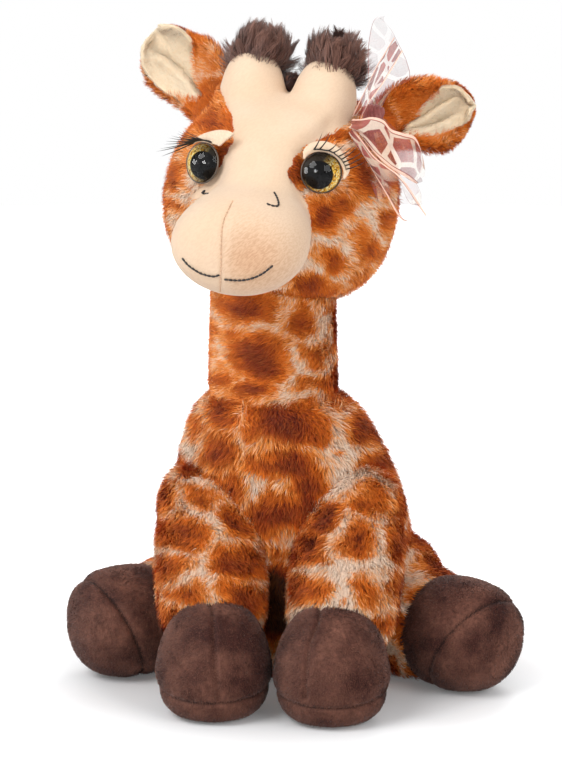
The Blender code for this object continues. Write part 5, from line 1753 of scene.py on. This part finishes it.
def ribbon(name, node, sections, ripple, seed, edged, prints):
    """A band of gathered ribbon between two edges, each section (x, y, depth) at either edge.

    prints has, for shares of its length, how strong its printed patches are and how dense the cloth between them.
    """
    rng = np.random.default_rng(seed)
    steps, columns = 90, 28
    edges = [np.array([tuple(on_screen(*section[k])) for section in sections]) for k in (0, 1)]
    marks = np.linspace(0, 1, len(sections))
    fine = np.linspace(0, 1, steps + 1)
    left, right = (np.stack([smooth_through(marks, edge[:, k], fine) for k in range(3)], 1) for edge in edges)
    middle = (left + right) / 2
    length = np.concatenate([[0], np.cumsum(np.linalg.norm(np.diff(middle, axis=0), axis=1))])
    wide = np.linalg.norm(right - left, axis=1)
    phase = rng.uniform(0, 6.3, 3)
    bm = bmesh.new()
    grid, cloth = [], []
    for k in range(steps + 1):
        ahead = Vector(middle[min(k + 1, steps)] - middle[max(k - 1, 0)]).normalized()
        across = Vector(right[k] - left[k])
        normal = across.cross(ahead).normalized()
        gather = 1.2 - wide[k] / wide.max()
        line = []
        for c in range(columns + 1):
            v = 2 * c / columns - 1
            wave = 0.6 * math.sin(v * 5.5 + phase[0] + fine[k] * 4) + 0.4 * math.sin(v * 10 + phase[1] - fine[k] * 5)
            off = (wave * ripple + 0.0022 * (1 - v * v)) * (0.4 + gather)
            line.append(bm.verts.new(Vector(left[k]) + across * (c / columns) + normal * off))
            cloth.append((v * edged, length[k] / 0.0085 + seed * 3.7, seed * 1.3))
        grid.append(line)
    spread_cloth(bm, grid)
    mesh = mesh_from(bm, name)
    put_attribute(mesh, "cloth", np.array(cloth))
    shares, strong, dense = zip(*prints)
    put_attribute(mesh, "print", np.repeat(np.interp(fine, shares, strong), columns + 1))
    put_attribute(mesh, "veil", np.repeat(np.interp(fine, shares, dense), columns + 1))
    obj = placed(name, mesh, MATERIALS["ribbon"], "head")
    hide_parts(node)
    return obj


def smooth_through(marks, values, fine):
    """A smooth curve through the values, one coordinate."""
    slopes = np.gradient(values, marks)
    index = np.clip(np.searchsorted(marks, fine) - 1, 0, len(marks) - 2)
    step = marks[index + 1] - marks[index]
    t = (fine - marks[index]) / step
    a, b = values[index], values[index + 1]
    m, n = slopes[index] * step, slopes[index + 1] * step
    return (
        (2 * t**3 - 3 * t**2 + 1) * a + (t**3 - 2 * t**2 + t) * m + (-2 * t**3 + 3 * t**2) * b + (t**3 - t**2) * n
    )


# each band's two edges, section by section: the photograph's pixel, and millimetres in front of the knot
BOW_BANDS = (
    ("bow_upper_back", "bow_loop_upper", 0.0005, 1, 0.835,
     ((0, 0.9, 0.3), (0.2, 0.5, 0.12), (0.45, 0.25, 0.08), (1, 0.18, 0.08)), (
        ((371, 114, -1), (380, 110, -1)), ((368, 94, -2), (392, 90, -3)), ((368, 70, -2), (409, 79, -4)),
        ((368, 50, -1), (407, 62, -3)), ((370, 34, 1), (398, 43, -1)), ((373, 22, 3), (390, 28, 1)),
        ((377, 17, 3), (380, 18, 2)),
    )),
    ("bow_upper_front", "bow_loop_upper", 0.0004, 2, 1.0,
     ((0, 0.85, 0.15), (0.4, 0.9, 0.2), (1, 1.0, 0.5)), (
        ((394, 37, 4), (403, 51, 4)), ((385, 52, 6), (394, 66, 6)), ((376, 67, 8), (383, 84, 8)),
        ((365, 90, 9), (371, 100, 9)), ((356, 108, 8), (364, 112, 9)), ((352, 117, 6), (361, 119, 7)),
    )),
    ("bow_side_band", "bow_loop_side", 0.0007, 3, 1.0,
     ((0, 1.0, 0.6), (0.6, 1.0, 0.6), (0.8, 0.8, 0.3), (1, 0.5, 0.15)), (
        ((353, 119, 5), (358, 131, 5)), ((362, 119, 8), (363, 138, 8)), ((372, 117, 10), (372, 150, 10)),
        ((383, 120, 11), (381, 160, 11)), ((391, 129, 10), (389, 167, 10)), ((403, 133, 9), (398, 173, 9)),
        ((415, 137, 7), (407, 178, 7)), ((422, 152, 5), (413, 182, 5)), ((424, 168, 3), (417, 184, 3)),
    )),
    ("bow_side_back", "bow_loop_side", 0.0005, 8, 0.835,
     ((0, 0.2, 0.1), (1, 0.5, 0.2)), (
        ((417, 184, 2), (424, 168, 2)), ((404, 176, 0), (416, 150, 0)), ((390, 160, -1), (400, 134, -1)),
        ((378, 134, 0), (386, 120, 0)), ((373, 120, 1), (377, 115, 1)),
    )),
    ("bow_lower_band", "bow_loop_lower", 0.0005, 4, 1.0,
     ((0, 1.0, 0.5), (0.45, 1.0, 0.35), (0.6, 0.1, 0.08), (1, 0.0, 0.06)), (
        ((354, 129, 6), (354, 134, 6)), ((362, 140, 9), (362, 153, 9)), ((374, 156, 11), (371, 168, 10)),
        ((388, 167, 11), (379, 182, 10)), ((399, 175, 10), (387, 196, 9)), ((410, 189, 8), (395, 211, 8)),
        ((419, 203, 7), (402, 220, 6)), ((427, 215, 6), (410, 221, 5)),
    )),
    ("bow_lower_tip", "bow_loop_lower", 0.0004, 5, 0.835,
     ((0, 0.1, 0.12), (0.6, 0.2, 0.10), (0.75, 0.7, 0.3), (1, 0.7, 0.3)), (
        ((398, 170, 7), (400, 180, 7)), ((408, 175, 8), (403, 190, 8)), ((416, 183, 8), (407, 199, 8)),
        ((421, 194, 7), (412, 205, 7)), ((421, 202, 6), (417, 206, 6)),
    )),
    ("bow_tail_band", "bow_tail", 0.0006, 6, 0.835,
     ((0, 1.0, 0.3), (1, 0.9, 0.2)), (
        ((366, 116, 1), (374, 116, 1)), ((360, 136, 3), (374, 134, 3)), ((364, 162, 5), (380, 158, 4)),
        ((371, 184, 6), (386, 178, 5)), ((378, 201, 6), (391, 194, 5)),
    )),
)


def build_bow():
    knot = HEAD @ Matrix.Translation(KNOT_PLACE)
    rows = [(0.012 * up, 0, 0, 0.0050 * wide, 0.0042 * wide)
            for up, wide in ((-0.5, 0.62), (-0.30, 0.95), (0.0, 0.86), (0.30, 0.95), (0.5, 0.62))]
    mesh = cage(rows, knot)
    points, normals = points_of(mesh), normals_of(mesh)
    creases = np.sin(points[:, 0] * 3800 + 1.2 * np.sin(points[:, 2] * 700)) * 0.00035
    set_points(mesh, points + normals * creases[:, None])
    skin_piece("bow_knot_skin", mesh, "knot", "head", "bow_knot")
    for name, node, ripple, seed, edged, prints, sections in BOW_BANDS:
        ribbon(name, node, sections, ripple, seed, edged, prints)


# build
def lamp(name, spot, size, watts, aim=(0, 0, 0.14)):
    data = bpy.data.lights.new(name, "AREA")
    data.shape = "DISK"
    data.size = size
    data.energy = watts
    obj = bpy.data.objects.new(name, data)
    bpy.context.scene.collection.objects.link(obj)
    obj.location = spot
    obj.rotation_euler = (Vector(aim) - Vector(spot)).to_track_quat("-Z", "Y").to_euler()
    return obj


LAMPS = (  # place, width in metres, watts
    ("key", (-0.75, -1.0, 1.25), 0.95, 16.5),
    ("fill", (1.0, -0.9, 0.75), 0.9, 7),
    ("back", (0.2, 1.1, 1.0), 0.8, 6),
)
# lamps that only the glossy eyes show: degrees from the camera's side, width in metres, watts
CATCH_LIGHTS = (("catch_right", -21, 0.30, 5), ("catch_left", -74, 0.45, 8))
EYES_HEIGHT = Vector((0, -0.03, 0.235))


def build_stage():
    world = bpy.data.worlds.new("studio")
    bpy.context.scene.world = world
    world.use_nodes = True
    tree = world.node_tree
    background = tree.nodes["Background"]
    background.inputs["Color"].default_value = (1, 1, 1, 1)
    path = tree.nodes.new("ShaderNodeLightPath")
    seen = tree.nodes.new("ShaderNodeMath")
    seen.operation = "MAXIMUM"
    tree.links.new(path.outputs["Is Camera Ray"], seen.inputs[0])
    tree.links.new(path.outputs["Is Transmission Ray"], seen.inputs[1])
    level = tree.nodes.new("ShaderNodeMapRange")
    tree.links.new(seen.outputs[0], level.inputs["Value"])
    level.inputs["To Min"].default_value = 0.62
    level.inputs["To Max"].default_value = 1.0
    tree.links.new(level.outputs["Result"], background.inputs["Strength"])
    bm = bmesh.new()
    bmesh.ops.create_circle(bm, cap_ends=True, segments=96, radius=2.6)
    mesh = mesh_from(bm, "floor")
    nodes = Nodes("floor")
    grain = nodes.noise(3.0, 2.0, where=nodes.add("ShaderNodeTexCoord").outputs["Object"])
    nodes.surface(nodes.ramp(grain, [(0.0, (0.80, 0.805, 0.815)), (1.0, (0.82, 0.825, 0.835))]), 0.5)
    path = nodes.add("ShaderNodeLightPath")
    nodes.put(nodes.shader, "Emission Color", (1, 1, 1, 1))
    spot = nodes.add("ShaderNodeTexCoord").outputs["Object"]
    away = nodes.add("ShaderNodeVectorMath", operation="LENGTH")
    nodes.put(away, 0, spot)
    glow = nodes.levels(away.outputs["Value"], 0.09, 0.22, 0.10, 1.0)
    nodes.put(nodes.shader, "Emission Strength", nodes.math("MULTIPLY", path.outputs["Is Camera Ray"], glow))
    floor = link("floor", mesh, nodes.material)
    for name, spot, size, watts in LAMPS:
        lamp(name, spot, size, watts)
    for name, turn, size, watts in CATCH_LIGHTS:
        aside = Matrix.Rotation(turn * DEGREE, 3, "Z") @ BACKWARDS
        catch = lamp(name, EYES_HEIGHT + aside * 1.0, size, watts, EYES_HEIGHT)
        catch.visible_diffuse = False


def build():
    skin = build_head()
    build_head_fur(skin)
    build_eyes()
    build_lashes(build_lids(skin))
    build_stitches(skin)
    build_ears()
    build_tufts()
    build_manes(skin)
    build_trunk()
    build_bag()
    build_legs()
    build_tail()
    build_bow()
    build_stage()


build()
bpy.context.scene.view_settings.view_transform = "Standard"
bpy.context.view_layer.update()
